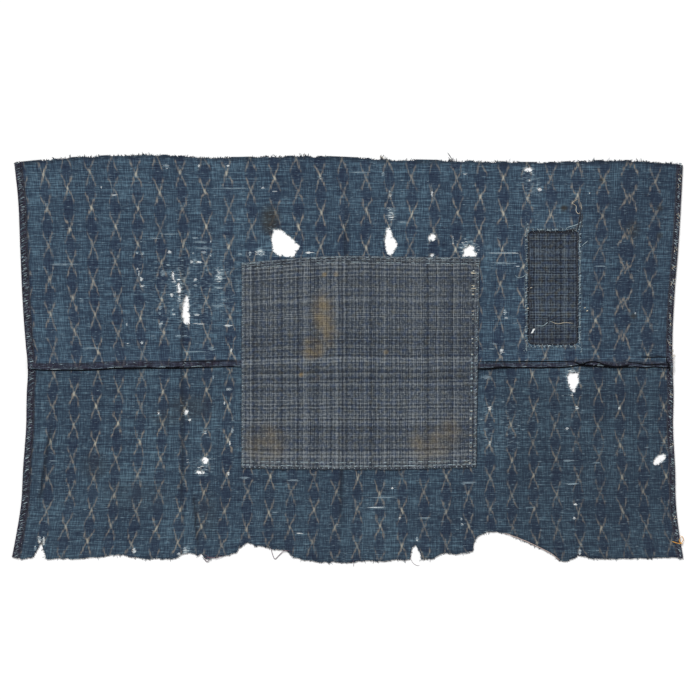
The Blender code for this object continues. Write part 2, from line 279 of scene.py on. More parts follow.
def lower_inside(x, y):
    torn = y - torn_edge(x) + 1.1 * ragged(x, y, 17) + 0.5 * lumps(x, y, 10.0, 16)
    slope = np.abs(torn_edge(x + 2.0) - torn_edge(x - 2.0)) / 4.0
    torn = torn / np.hypot(1.0, slope)
    return np.minimum(torn, from_holes(x, y) + ragged(x, y, 13))


def hem_depth(x, y):
    """How far a point is in from the inner edge of the nearer hemmed side, less than 0 on the hemmed strip.
    """
    return np.minimum(x - along(SIDES, y, 1) - LEFT_HEM, along(SIDES, y, 2) - RIGHT_HEM - x)


# ---------------- how the cloth lies


def by_crease(x, y, ends):
    """How far points are beside a crease, and a share that is 1 along it and fades at its ends."""
    x0, y0, x1, y1 = ends
    run = np.hypot(x1 - x0, y1 - y0)
    ux, uy = (x1 - x0) / run, (y1 - y0) / run
    on = (x - x0) * ux + (y - y0) * uy
    off = (x - x0) * uy - (y - y0) * ux
    return off, np.minimum(1, 3 * soft((on - run / 2) / (run / 2)))


def relief(x, y):
    """The seam's ridge and the creases, and the fine crumpling of old cotton."""
    d = y - seam(x)
    lift = along(SEAM_RIDGE, x) * soft(d / SEAM_RIDGE_HALF)
    for *ends, half, height in CREASES:
        off, fade = by_crease(x, y, ends)
        lift = np.maximum(lift, height * fade * soft((off + 0.6 * lumps(x, y, 18.0, 21)) / half))
    swell = 0.8 + 0.8 * lumps(x, y, 46.0, 22, 1.6)
    crumple = 0.22 * (1 + lumps(x, y, 8.0, 23, 1.5)) + 0.1 * (1 + lumps(x, y, 4.6, 24))
    puckers = 0.5 * fall(np.abs(d), 4.0, 34.0) * (1 + lumps(x + 0.4 * d, y, 7.0, 25, 0.9))
    return lift + 0.55 * swell + crumple + puckers


def hem_share(x, y):
    return fall(hem_depth(x, y), HEM_STEP + CLEARANCE, HEM_EASE)


def panel_thick(x, y):
    """A single cloth, and the doubled one of the hems."""
    return PANEL_THICK + (HEM_THICK - PANEL_THICK) * fall(hem_depth(x, y), -1.0, HEM_STEP)


def upper_lift(x, y):
    under = PANEL_THICK + (HEM_THICK - PANEL_THICK) * hem_share(x, y)
    d = y - seam(x)
    over_lap = (under + CLEARANCE) * fall(d, LAP_LEVEL, LAP_DOWN)
    x0, y0, x1, y1 = WINDOW
    past = np.maximum(np.maximum(x0 - x, x - x1), np.maximum(y0 - y, y - y1))
    over_small = (PATCH_THICK + CLEARANCE) * fall(past, SMALL_LEVEL, SMALL_DOWN)
    lip = 0.7 * soft((d - 1.5) / 4.0)
    return relief(x, y) + np.maximum(over_lap, over_small) + lip


def large_lift(x, y):
    d = y - seam(x)
    step = np.where(d > 0, fall(d, LAP_LEVEL, LAP_DOWN), fall(-d, 3.0, 17.0))
    quilt = 0.25 * (1 + lumps(x, y, 12.0, 27))
    return relief(x, y) + (PANEL_THICK + CLEARANCE) * (1 + step) + 0.7 * soft(d / 8.0) + quilt


def large_thick(x, y):
    """The large patch, with its top edge turned under."""
    below_head = along(LARGE_HEAD, x) - y
    return PATCH_THICK + 0.7 * fall(below_head, 6.5, 8.5)


def small_thick(x, y):
    return PATCH_THICK + 0 * x


# ---------------- sheets


def put(name, data):
    """A new object in the scene."""
    made = bpy.data.objects.new(name, data)
    bpy.context.scene.collection.objects.link(made)
    return made


def panel_place(low, high):
    """Lays a unit square out between two edges and the cloth's sides."""

    def place(s, t):
        guess = (s - 0.5) * CUT_WIDTH
        for _round in range(3):
            y = low(guess) * (1 - t) + high(guess) * t
            guess = along(SIDES, y, 1) * (1 - s) + along(SIDES, y, 2) * s
        return guess, y

    return place


def large_place(s, t):
    left = LARGE_FOOT[0][0] * (1 - t) + LARGE_HEAD[0][0] * t
    right = LARGE_FOOT[-1][0] * (1 - t) + LARGE_HEAD[-1][0] * t
    left = left + 0.8 * lumps(0 * t, t * 340, 14.0, 31)
    right = right + 0.8 * lumps(0 * t, t * 340, 14.0, 32)
    x = left * (1 - s) + right * s
    foot = along(LARGE_FOOT, x) + 0.8 * lumps(x, 0 * x, 11.0, 33)
    head = along(LARGE_HEAD, x) + 0.5 * lumps(x, 0 * x, 16.0, 34)
    return x, foot * (1 - t) + head * t


def small_place(s, t):
    x0, y0, x1, y1 = WINDOW
    x = x0 - SMALL_REACH + s * (x1 - x0 + 2 * SMALL_REACH)
    return x, y0 - SMALL_REACH + t * (y1 - y0 + 2 * SMALL_REACH)


def sheet(name, material, size, cell, place, lift, thick, values, vectors, inside=None):
    """A closed sheet of cloth, cut along the line where inside() is 0.

    values and vectors name what is worked out at each point for the finish. The second result holds
    the cut edge's points and the way out of the cloth at each.
    """
    nx, ny = round(size[0] / cell), round(size[1] / cell)
    s, t = np.meshgrid(np.linspace(0, 1, nx + 1), np.linspace(0, 1, ny + 1))
    x, y = (np.ravel(v) for v in place(s, t))
    corner = (np.arange(ny)[:, None] * (nx + 1) + np.arange(nx)).ravel()
    quads = np.stack([corner, corner + 1, corner + nx + 2, corner + nx + 1], 1)
    frayed = np.zeros((0, 4))
    if inside is not None:
        held = inside(x, y)
        kept = held[quads].mean(1) > 0
        edge = np.intersect1d(quads[kept], quads[~kept])
        ex, ey, h = x[edge], y[edge], 0.4
        gx = (inside(ex + h, ey) - inside(ex - h, ey)) / (2 * h)
        gy = (inside(ex, ey + h) - inside(ex, ey - h)) / (2 * h)
        steep = np.maximum(gx**2 + gy**2, 0.3)
        reach = np.clip(held[edge] / steep, -0.9 * cell, 0.9 * cell)
        x[edge] -= reach * gx
        y[edge] -= reach * gy
        steep = np.sqrt(steep)
        frayed = np.stack([x[edge], y[edge], -gx / steep, -gy / steep], 1)
        quads = quads[kept]
    used, quads = np.unique(quads, return_inverse=True)
    quads = quads.reshape(-1, 4)
    x, y = x[used], y[used]
    low = lift(x, y)
    count = len(x)
    sides = quads[:, [0, 1, 1, 2, 2, 3, 3, 0]].reshape(-1, 2)
    keys = np.sort(sides, 1)
    keys = keys[:, 0] * count + keys[:, 1]
    _unique, first, times = np.unique(keys, return_index=True, return_counts=True)
    rim = sides[first[times == 1]]
    walls = np.stack([rim[:, 0], rim[:, 0] + count, rim[:, 1] + count, rim[:, 1]], 1)
    faces = np.concatenate([quads + count, quads[:, ::-1], walls[:, ::-1]])
    points = np.stack([np.tile(x, 2), np.tile(y, 2), np.concatenate([low, low + thick(x, y)])], 1)
    mesh = bpy.data.meshes.new(name)
    mesh.from_pydata((points * MM).tolist(), [], faces.tolist())
    for key, worked_out in values.items():
        layer = mesh.attributes.new(key, "FLOAT", "POINT")
        layer.data.foreach_set("value", np.tile(worked_out(x, y), 2).astype(np.float32))
    for key, worked_out in vectors.items():
        layer = mesh.attributes.new(key, "FLOAT_VECTOR", "POINT")
        both = np.stack([*worked_out(x, y), 0 * x], 1)
        layer.data.foreach_set("vector", np.tile(both, (2, 1)).astype(np.float32).ravel())
    mesh.shade_smooth()
    mesh.set_sharp_from_angle(angle=math.radians(60))
    mesh.materials.append(material)
    return put(name, mesh), frayed


# ---------------- finish helpers


def linear(hexed):
    """An sRGB hex colour as the linear one that a shader takes."""
    parts = [int(hexed[i : i + 2], 16) / 255 for i in (0, 2, 4)]
    return (*[c / 12.92 if c <= 0.04045 else ((c + 0.055) / 1.055) ** 2.4 for c in parts], 1.0)


def add(tree, kind, inputs=None, out=0, **settings):
    """Adds one node, with its settings, and links or sets its inputs by name or number."""
    node = tree.nodes.new("ShaderNode" + kind)
    for key, value in settings.items():
        setattr(node, key, value)
    for key, value in (inputs or {}).items():
        if isinstance(value, bpy.types.NodeSocket):
            tree.links.new(value, node.inputs[key])
        else:
            node.inputs[key].default_value = value
    return node.outputs[out]


def cloth_finish(name, roughness, sheen):
    """A new material, and its tree and shader, for matt cotton that takes light softly."""
    material = bpy.data.materials.new(name)
    material.use_nodes = True
    tree = material.node_tree
    shader = tree.nodes["Principled BSDF"]
    shader.inputs["Roughness"].default_value = roughness
    shader.inputs["Specular IOR Level"].default_value = 0.12
    shader.inputs["Sheen Weight"].default_value = sheen
    shader.inputs["Sheen Roughness"].default_value = 0.6
    return material, tree, shader


def maths(operation, *values, **settings):
    """A sum on sockets and plain numbers."""
    tree = next(v.id_data for v in values if isinstance(v, bpy.types.NodeSocket))
    return add(tree, "Math", dict(enumerate(values)), operation=operation, **settings)


def scaled(value, factor, plus=0.0, **settings):
    return maths("MULTIPLY_ADD", value, factor, plus, **settings)


def spread(value, start, end, low=0.0, high=1.0, **settings):
    """The part of a value's range from start to end, spread over low to high and held there."""
    return add(value.id_data, "MapRange", {0: value, 1: start, 2: end, 3: low, 4: high}, **settings)


def fades(value, start, end):
    """1 up to start, falling softly to 0 at end."""
    return spread(value, start, end, 1.0, 0.0, interpolation_type="SMOOTHSTEP")


def streaks(place, along_mm, across_mm, detail=2.0, w=0.0):
    """Noise drawn out into streaks of a real length and width, about 0.5."""
    tree, size = place.id_data, (MM_IN_A_METRE / along_mm, MM_IN_A_METRE / across_mm, 1.0)
    place = add(tree, "VectorMath", {0: place, 1: size}, operation="MULTIPLY")
    return add(
        tree, "TexNoise", {"Vector": place, "W": w, "Scale": 1.0, "Detail": detail}, noise_dimensions="4D"
    )


def blend(share, low, high, how="MIX"):
    """One colour mixed into another by a share; each is a socket or an sRGB hex value."""
    tree = next(v.id_data for v in (share, low) if isinstance(v, bpy.types.NodeSocket))
    low, high = (linear(colour) if isinstance(colour, str) else colour for colour in (low, high))
    return add(tree, "Mix", {0: share, 6: low, 7: high}, 2, data_type="RGBA", blend_type=how)


def stored(tree, name, out="Fac"):
    """What the sheet worked out for each of its points under this name."""
    return add(tree, "Attribute", out=out, attribute_name=name)


def dress(shader, colour, height, strength, distance):
    """Gives a shader its colour, and a bump so many metres deep."""
    tree = shader.id_data
    bump = add(tree, "Bump", {"Strength": strength, "Distance": distance, "Height": height})
    tree.links.new(colour, shader.inputs["Base Color"])
    tree.links.new(bump, shader.inputs["Normal"])


# ---------------- kasuri cotton

COLUMN = 38.0
ROW = 58.4
ARM_REACH = 23.0
ARM_WIDTH = 2.3
LENS_HALF = 8.0
DYED_THREAD = 1.3
THREAD_SLIP = 6.5
SWAY = 7.0
TWIN_APART = 3.2
WIDTH_TONES = (0.605, 0.795, 0.985)  # where the cloth is darkest, middling and palest

# The dyed columns: number of the column, and its place along the cut width.
UPPER_COLUMNS = ((0, -499), (6, -275), (12, -47), (18, 176.5), (22, 330.5), (26, 502.5))
LOWER_COLUMNS = ((-1, -502), (6, -241.5), (19, 235.7), (27, 529))
# The rows of crosses: place along, height of the first row, height from row to row.
UPPER_ROWS = ((-427, 307.2, 59.2), (420, 295.7, 57.4))
LOWER_ROWS = ((-447, -52.3, 56.3), (271, -52.3, 56.3))


def cut_place(x, y):
    """Where a point was across the cloth before the sides drew in."""
    left, right = along(SIDES, y, 1), along(SIDES, y, 2)
    return (x - (left + right) / 2) * CUT_WIDTH / (right - left)


def cloth_place(x, y):
    """Metres across and up the cut cloth."""
    return cut_place(x, y) * MM, y * MM


def carried_on(at, rows, column):
    """A straight-line table's value, carried on past both its ends."""
    table = np.array(rows, dtype=float)
    places, values = table[:, 0], table[:, column]
    result = np.interp(at, places, values)
    for end, inner in ((0, 1), (-1, -2)):
        slope = (values[inner] - values[end]) / (places[inner] - places[end])
        past = (at < places[0]) if end == 0 else (at > places[-1])
        result = np.where(past, values[end] + (at - places[end]) * slope, result)
    return result


def motif_place(columns, rows):
    """The number of the column and row of crosses that a point is in, with fractions."""
    columns = [(place, number) for number, place in columns]

    def place(x, y):
        column = carried_on(cut_place(x, y), columns, 1)
        return column, (carried_on(x, rows, 1) - y) / carried_on(x, rows, 2)

    return place


def kasuri_motif(tree, place, twin):
    """The resist-dyed crosses, the lenses between them, the crossings and the columns, each 0 to 1."""
    motif = stored(tree, "motif", "Vector")
    split = add(tree, "SeparateXYZ", {0: motif})
    c, r = split.node.outputs[0], split.node.outputs[1]
    column = maths("ROUND", c)
    r = scaled(maths("FLOORED_MODULO", column, 2.0), -0.5, r)
    row = maths("ROUND", r)
    cell = add(tree, "CombineXYZ", {0: column, 1: row})
    chance = add(tree, "TexWhiteNoise", {"Vector": cell}, "Color", noise_dimensions="3D")
    chance = add(tree, "SeparateXYZ", {0: chance})
    shift_x, shift_y, bright = (chance.node.outputs[i] for i in range(3))
    sway = scaled(streaks(place, 60.0, 12.0, 1.0, 9.0), SWAY, -SWAY / 2)
    lx = scaled(maths("SUBTRACT", c, column), COLUMN, scaled(shift_x, 2.4, sway))
    lx = maths("SUBTRACT", lx, 1.2)
    # each dyed thread has slipped a little along its neighbour
    split = add(tree, "SeparateXYZ", {0: place})
    thread = maths("FLOOR", scaled(split, MM_IN_A_METRE / DYED_THREAD))
    each = add(tree, "CombineXYZ", {0: thread, 1: row, 2: column})
    slip = add(tree, "TexWhiteNoise", {"Vector": each}, "Value", noise_dimensions="3D")
    slip = scaled(slip, THREAD_SLIP, -THREAD_SLIP / 2)
    ly = scaled(maths("SUBTRACT", r, row), ROW, scaled(shift_y, SWAY, slip))
    ly = maths("ABSOLUTE", maths("SUBTRACT", ly, SWAY / 2))
    side = maths("ABSOLUTE", lx)
    if twin is not None:  # one column of the cloth has two crosses side by side
        twinned = maths("COMPARE", column, float(twin), 0.1)
        bright = maths("SUBTRACT", bright, twinned, use_clamp=True)
        side = maths("ABSOLUTE", maths("SUBTRACT", side, scaled(twinned, TWIN_APART)))
    arm = scaled(ly, scaled(ly, -0.0045, 0.49))
    line = fades(maths("ABSOLUTE", maths("SUBTRACT", side, arm)), 0.3, ARM_WIDTH)
    end = fades(ly, ARM_REACH - 7, ARM_REACH + 3)
    broken = spread(streaks(place, 5.0, 8.0, 1.0, 5.0), 0.36, 0.62, 0.25)
    faint = scaled(bright, 0.3, 0.7)
    if twin is not None:
        faint = scaled(twinned, 0.45, faint)
    crosses = scaled(scaled(scaled(line, end), broken), faint)
    lens = fades(maths("SUBTRACT", side, maths("MINIMUM", arm, LENS_HALF)), -3.0, 2.0)
    lens = scaled(lens, maths("SUBTRACT", 1.0, fades(ly, 9.0, 21.0)))
    core = scaled(scaled(fades(ly, 1.0, 5.5), fades(side, 0.9, 2.3)), bright)
    return crosses, lens, core, fades(side, 7.0, 12.0)


def kasuri_cotton(name, tint, twin=None):
    """Hand-woven indigo cotton, resist-dyed in the thread: slubby, faded, and matt as felt."""
    material, tree, shader = cloth_finish(name, 0.92, 0.1)
    place = stored(tree, "cloth", "Vector")
    weft = streaks(place, 24.0, 1.65, 2.0, 1.0)
    warp = streaks(place, 1.7, 14.0, 2.0, 2.0)
    pick = streaks(place, 240.0, 1.7, 0.0, 8.0)
    end = streaks(place, 1.8, 240.0, 0.0, 9.0)
    mottle = streaks(place, 26.0, 9.0, 2.0, 4.0)
    fade = streaks(place, 130.0, 80.0, 2.0, 6.0)
    crosses, lens, core, strip = kasuri_motif(tree, place, twin)
    tone = 0.0
    for grain, share in (
        (weft, 0.5), (warp, 0.42), (pick, 0.21), (end, 0.15), (mottle, 0.13), (fade, 0.2),
        (strip, -0.03), (lens, -0.025),
    ):
        tone = scaled(grain, share, tone)
    dark, middling, pale = WIDTH_TONES
    weave = maths("ADD", weft, warp)
    band = blend(spread(weave, 0.8, 1.2), "100e18", "302f3f")
    fleck = scaled(stored(tree, "wear"), 0.26, streaks(place, 9.0, 2.1, 1.0, 7.0))
    colour = "16233a"
    for share, other, how in (
        (spread(tone, dark, middling), "36495b", "MIX"),
        (spread(tone, middling, pale), "688494", "MIX"),
        (scaled(lens, 0.2), "262c49", "MIX"),
        (scaled(crosses, 0.85, use_clamp=True), "958e84", "MIX"),
        (scaled(core, 0.75), "c2bfb0", "MIX"),
        (0.5, tint, "SOFT_LIGHT"),
        # painted shade in the creases and along the curled edges, and a darker right and foot that is partly
        # painted shade
        (stored(tree, "shade"), "141c28", "MIX"),
        (stored(tree, "stain"), "2c2a26", "MIX"),
        (stored(tree, "hem_and_shade"), band, "MIX"),
        (spread(fleck, 0.6, 0.8, 0.0, 0.6), "7c919c", "MIX"),
        (spread(fleck, 0.8, 0.9), "e4eaea", "MIX"),
    ):
        colour = blend(share, colour, other, how)
    dress(shader, colour, weave, 0.5, WEAVE_DEPTH)
    return material


# ---------------- check cotton

CHECK_TONES = (1.3, 2.05, 2.85)
LINE_DRIFT = 0.24  # how far a line strays, as a share of the repeat


def check_lines(tree, at, broken, pitch, w, dark, light):
    """The tone of the threads one way: in each repeat a dark line and a light one, none quite alike.

    dark and light are where each line is in the repeat, and how strong.
    """
    tone = 0.1
    for step, (size, share) in enumerate(((THREAD_PITCH, 0.54), (THREAD_PITCH * 1.9, 0.08))):
        thread = maths("FLOOR", scaled(at, MM_IN_A_METRE / size))
        each = add(
            tree, "TexWhiteNoise", {"W": thread, "Vector": (w, step, 0)}, "Value", noise_dimensions="4D"
        )
        tone = scaled(each, share, tone)
    wave = scaled(at, MM_IN_A_METRE / pitch, w)
    repeat = maths("FLOOR", wave)
    wave = maths("FRACT", wave)
    chance = add(tree, "TexWhiteNoise", {"W": repeat, "Vector": (w, 1, 0)}, "Color", noise_dimensions="4D")
    chance = add(tree, "SeparateXYZ", {0: chance})
    for out, (place, force), sign in ((1, light, 1.0), (2, dark, -1.0)):
        drift = scaled(chance, LINE_DRIFT * sign, place - LINE_DRIFT / 2 * sign)
        line = fades(maths("ABSOLUTE", maths("SUBTRACT", wave, drift)), 0.02, 0.1)
        strong = scaled(chance.node.outputs[out], 0.7 * force * sign, 0.6 * force * sign)
        tone = scaled(scaled(line, strong), broken, tone)
    return tone


def check_cotton(name, dark, ground, light, pitches, force):
    """Plain-woven striped cotton, crossed into a fine uneven check, matt and a little dry."""
    material, tree, shader = cloth_finish(name, 0.94, 0.08)
    place = stored(tree, "cloth", "Vector")
    bend = add(tree, "TexNoise", {"Vector": place, "Scale": 22.0, "Detail": 1.0}, "Color")
    bend = add(tree, "VectorMath", {0: bend, 1: (0.5, 0.5, 0.5)}, operation="SUBTRACT")
    bend = add(tree, "VectorMath", {0: bend, 1: (0.0035, 0.0035, 0.0), 2: place}, operation="MULTIPLY_ADD")
    split = add(tree, "SeparateXYZ", {0: bend})
    weft = streaks(place, 5.0, 1.6, 1.0, 1.0)
    warp = streaks(place, 1.6, 6.0, 1.0, 2.0)
    broken = [spread(grain, 0.36, 0.64, 0.35, 1.5) for grain in (warp, weft)]
    across = check_lines(tree, split, broken[0], pitches[0], 0.3, (0.12, force[0]), (0.45, 0.75 * force[0]))
    up = check_lines(
        tree, split.node.outputs[1], broken[1], pitches[1], 7.1, (0.3, 0.7 * force[1]), (0.6, force[1])
    )
    tone = maths("ADD", across, up)
    mottle = streaks(place, 30.0, 24.0, 2.0, 4.0)
    for grain, share in ((weft, 1.15), (warp, 1.15), (mottle, 0.2)):
        tone = scaled(grain, share, tone)
    darkest, middling, palest = CHECK_TONES
    hue = streaks(place, 9.0, 7.0, 3.0, 6.0)
    uneven, on_pale = spread(mottle, 0.36, 0.6, 0.2), spread(tone, 1.6, 2.6, 0.2, 0.62)
    colour = dark
    for share, other in (
        (spread(tone, darkest, middling), ground),
        (spread(tone, middling, palest), light),
        (spread(hue, 0.54, 0.74, 0.0, 0.3), "66624f"),
        (spread(hue, 0.5, 0.3, 0.0, 0.3), "34486a"),
        (scaled(scaled(stored(tree, "stain"), uneven), on_pale), "8f7843"),
        # on the patches: painted shade in the fold, over the seam and just inside the window's edge, and the
        # darker band at the window's foot
        (stored(tree, "hem_and_shade"), "10121f"),
    ):
        colour = blend(share, colour, other)
    dress(shader, colour, maths("ADD", weft, warp), 0.5, WEAVE_DEPTH)
    return material


# ---------------- wear, stains and hems

# Middle x and y, half width, half height, strength.
PANEL_STAINS = (
    (-128, 229, 18, 28, 0.75), (357, 249, 7, 6, 0.9), (515, 249, 6, 6, 0.6), (515, 204, 6, 6, 0.6),
    (470, 213, 14, 18, 0.4), (472, 71, 6, 6, 0.7), (420, 295, 6, 5, 0.7), (-260, -80, 44, 24, 0.3),
    (-298, -97, 30, 18, 0.25), (-416, -177, 26, 28, 0.22), (-350, -225, 70, 34, 0.14),
    (-233, -255, 26, 44, 0.2),
)
PANEL_WEAR = (
    (-143.5, 176, 9, 11, 0.9), (-210, 139, 9, 14, 0.9), (-243, 114, 110, 70, 0.3), (-275, 120, 16, 55, 0.5),
    (72, 240, 9, 16, 0.8), (200, 185, 20, 18, 0.5), (370, -30, 20, 24, 0.45), (250, -110, 70, 50, 0.25),
    (-240, -175, 26, 20, 0.4), (300, 290, 22, 30, 0.45), (-265, -318, 9, 16, 0.8),
)
PATCH_STAINS = (
    (-40, 76, 22, 36, 0.8), (-58, 18, 22, 20, 1), (-30, 45, 16, 30, 0.7), (-134, -138, 36, 34, 0.5),
    (134, -140, 38, 34, 0.5), (170, -120, 20, 30, 0.35), (-76, -26, 4.5, 4.5, 1.4),
    (-49, -31, 4.5, 4.5, 1.4), (-38, 139, 4.5, 4.5, 1.2), (-19, 140, 4.5, 4.5, 1.2),
    (63.5, 11.5, 4.5, 4.5, 1),
)


TOP_STRIP, FOOT_STRIP = 300, -290  # the raw top edge and the torn foot keep their colour


def panel_stain(x, y):
    return spots(x, y, PANEL_STAINS)


def panel_wear(inside):
    """How worn the cloth is: in its thin places and along its cut edges."""

    def wear(x, y):
        from_edge = np.minimum(from_holes(x, y), inside(x, y) + 20 * (y > TOP_STRIP))
        at_hole = np.exp(-np.clip(from_edge, 0, 20) / 2.0)
        lip = 0.5 * fall(np.abs(y - seam(x) - 1.0), 0.5, 2.5) * (y > seam(x))
        return np.clip(spots(x, y, PANEL_WEAR) + 0.5 * at_hole * (y > FOOT_STRIP) + lip, 0, 1.3)

    return wear


def upper_hem(x, y):
    """The unfaded strips: the hems and the lap of the seam."""
    left = fall(x, -190.0, 190.0)
    lap = fall(y - seam(x), 6.0 + 2.4 * left, 9.5 + 2.6 * left) * (0.82 + 0.18 * lumps(x, y, 9.0, 41, 2.0))
    return np.maximum(fall(hem_depth(x, y), 0.0, 2.0), lap)


def lower_hem(x, y):
    return fall(hem_depth(x, y), 0.0, 2.0)


def large_stain(x, y):
    return spots(x, y, PATCH_STAINS)


def large_shade(x, y):
    """Painted shade along the fold's crease and over the seam's ridge under the patch, with faint uneven
    tone.
    """
    fold = 0.3 * soft((x + 8.0 + 0.012 * y) / 5.0)
    seam_shade = 0.08 * soft((y - seam(x) + 7.0) / 6.0)
    return np.maximum(fold, seam_shade) + 0.05 * lumps(x, y, 60.0, 42)


def large_cloth(x, y):
    """Metres across and up the large patch before its edges were eased to fit."""
    foot, head = along(LARGE_FOOT, x), along(LARGE_HEAD, x)
    return x * MM, (y - foot) / (head - foot) * LARGE_HEIGHT * MM


def panel_shade(x, y):
    """How much darker the cloth is: dirtier and less faded at the right and the foot, with painted shade
    there too, and painted shade in the creases and along the curled edges.
    """
    # darker at the right and the foot: partly the cloth's own tone, partly painted shade of uneven light
    right = 0.2 * (1 - fall(x, 330.0, 470.0))
    foot_left = 0.06 * fall(y, -60.0, 0.0)
    foot = 0.17 * fall(y, -140.0, -60.0) * (1 - fall(x, -190.0, -110.0))
    foot_right = 0.34 * (1 - fall(x, 180.0, 300.0)) * fall(y, -60.0, 0.0)
    # painted shade of the curled top edge and torn foot
    curl_shade = 0.6 * fall(along(TOP_EDGE, x) - y + 2.0 * lumps(x, y, 9.0, 45), 2.0, 6.5)
    curl_shade = curl_shade + 0.3 * fall(y - torn_edge(x), 1.0, 5.0)
    # painted shade in the creases
    crease = np.zeros_like(x)
    for *ends, half, _height in CREASES:
        off, fade = by_crease(x, y, ends)
        off = off + 1.2 * lumps(x, y, 20.0, 43)
        dark = 0.6 if half > 8 else 0.85
        crease = np.maximum(crease, dark * fade * soft(off / (0.6 * half)))
    tone_and_shade = np.maximum(np.maximum(right, foot_left), np.maximum(foot, foot_right))
    return np.clip(tone_and_shade + curl_shade + crease + 0.03, 0, 1)


def small_shade(x, y):
    """Painted shade just inside the window's edge, where the panel's cut edge shades the patch, and the
    darker band at its foot.
    """
    edge = 0.75 * fall(-to_window(x, y) + 1.6 * lumps(x, y, 6.0, 44), 1.5, 6.0)
    foot = 0.4 * fall(y, 31.0, 42.0)
    return np.maximum(edge, foot)


# ---------------- build

WIDTH_CELL, LARGE_CELL, SMALL_CELL = 2.95, 2.3, 1.7  # the sheets' meshes, fine enough for their edges


def width_values(inside, hem_and_shade):
    return {"wear": panel_wear(inside), "stain": panel_stain, "hem_and_shade": hem_and_shade, "shade": panel_shade}


upper, upper_edge = sheet(
    "upper_width", kasuri_cotton("faded_kasuri_cotton", "7c8084", 25), (CUT_WIDTH, 350), WIDTH_CELL,
    panel_place(seam, lambda x: along(TOP_EDGE, x) + 1.6), upper_lift, panel_thick,
    width_values(upper_inside, upper_hem),
    {"cloth": cloth_place, "motif": motif_place(UPPER_COLUMNS, UPPER_ROWS)}, upper_inside,
)
lower, lower_edge = sheet(
    "lower_width", kasuri_cotton("faded_kasuri_cotton_lower", "7f807e"), (CUT_WIDTH, 330), WIDTH_CELL,
    panel_place(lambda x: along(BELOW_FOOT, x), lambda x: seam(x) + LAP), relief, panel_thick,
    width_values(lower_inside, lower_hem),
    {"cloth": cloth_place, "motif": motif_place(LOWER_COLUMNS, LOWER_ROWS)}, lower_inside,
)
grey_check = check_cotton("grey_check_cotton", "0f1421", "3a424b", "7c8286", (6.7, 6.1), (0.52, 0.36))
large, _none = sheet(
    "check_patch", grey_check, (391, LARGE_HEIGHT), LARGE_CELL, large_place, large_lift, large_thick,
    {"stain": large_stain, "hem_and_shade": large_shade}, {"cloth": large_cloth},
)
navy_check = check_cotton("navy_check_cotton", "090b16", "262e39", "5c6872", (4.35, 4.15), (0.8, 0.8))
small, _none = sheet(
    "window_patch", navy_check, (100, 205), SMALL_CELL, small_place, relief, small_thick,
    {"stain": lambda x, y: 0 * x, "hem_and_shade": small_shade}, {"cloth": lambda x, y: (x * MM, y * MM)},
)

# ---------------- threads

STITCH_ARCH = (-0.9, 0.35, 0.6, 0.35, -0.9)  # its height along it, in radii
UNDER_LARGE = (-178, -184, 219, 171)


def top_of(lift, thick):
    """The height of a cloth's upper face."""
    return lambda x, y: lift(x, y) + thick(x, y)


upper_top, lower_top = top_of(upper_lift, panel_thick), top_of(relief, panel_thick)
large_top, small_top = top_of(large_lift, large_thick), top_of(relief, small_thick)


def panel_top(x, y):
    """The top of whichever width shows."""
    return np.where(y > seam(x), upper_top(x, y), lower_top(x, y))


def through(points, each=6):
    """A smooth line through a few points."""
    points = np.array(points, dtype=float)
    places = np.arange(len(points))
    fine = np.linspace(0, len(points) - 1, each * (len(points) - 1) + 1)
    return np.stack([along(np.stack([places, column], 1), fine) for column in points.T], 1)


def lay(kind, top, points, above, radius):
    """Adds a strand along flat points, raised on to the cloth under them."""
    points = np.asarray(points, dtype=float)
    line = np.column_stack([points, top(points[:, 0], points[:, 1]) + above])
    kind.append((line, radius))


def stitch(kind, top, start, end, radius):
    """Adds one stitch, pulled into the cloth at its ends."""
    t = np.linspace(0, 1, len(STITCH_ARCH))[:, None]
    points = np.array(start) * (1 - t) + np.array(end) * t
    lay(kind, top, points, np.array(STITCH_ARCH) * radius, radius)


def threads(name, strands, material, sides=4):
    """Many strands, each a line of points and a radius in millimetres, as one mesh."""
    points, faces, count = [], [], 0
    turn = np.arange(sides) * 2 * np.pi / sides
    for line, radius in strands:
        run = np.gradient(line, axis=0)
        run /= np.linalg.norm(run, axis=1, keepdims=True) + 1e-9
        side = np.cross(run, (0.0, 0.0, 1.0))
        flat = np.linalg.norm(side, axis=1, keepdims=True)
        side = np.where(flat > 0.05, side / (flat + 1e-9), (1.0, 0.0, 0.0))
        rise = np.cross(side, run)
        n = len(line)
        thin = radius * (1 - 0.55 * np.abs(np.linspace(-1, 1, n)) ** 4)[:, None, None]
        ring = np.cos(turn)[None, :, None] * side[:, None] + np.sin(turn)[None, :, None] * rise[:, None]
        points.append((line[:, None] + thin * ring).reshape(-1, 3))
        i, j = np.meshgrid(np.arange(n - 1), np.arange(sides), indexing="ij")
        k = (j + 1) % sides
        quad = np.stack([i * sides + j, i * sides + k, (i + 1) * sides + k, (i + 1) * sides + j], -1)
        faces.append(quad.reshape(-1, 4) + count)
        count += n * sides
    mesh = bpy.data.meshes.new(name)
    mesh.from_pydata((np.concatenate(points) * MM).tolist(), [], np.concatenate(faces).tolist())
    mesh.shade_smooth()
    mesh.materials.append(material)
    return put(name, mesh)


def cotton_thread(name, hexed, other, sheen=0.2):
    """Soft spun cotton thread, unevenly dyed, whose twist shows as fine slanted bands."""
    material, tree, shader = cloth_finish(name, 0.9, sheen)
    place = add(tree, "TexCoord", out="Object")
    uneven = add(tree, "TexNoise", {"Vector": place, "Scale": 160.0, "Detail": 2.0})
    uneven = spread(uneven, 0.35, 0.65)
    colour = blend(uneven, hexed, other)
    twist = {"Vector": place, "Scale": 700.0, "Distortion": 1.0}
    twist = add(tree, "TexWave", twist, "Fac", bands_direction="DIAGONAL")
    dress(shader, colour, twist, 0.4, TWIST_DEPTH)
    return material


chance = np.random.default_rng(RANDOM_SEED)
PALE, CREAM, BLUE, GREY, DARK, BLACK, BARE, HAZE = [], [], [], [], [], [], [], []

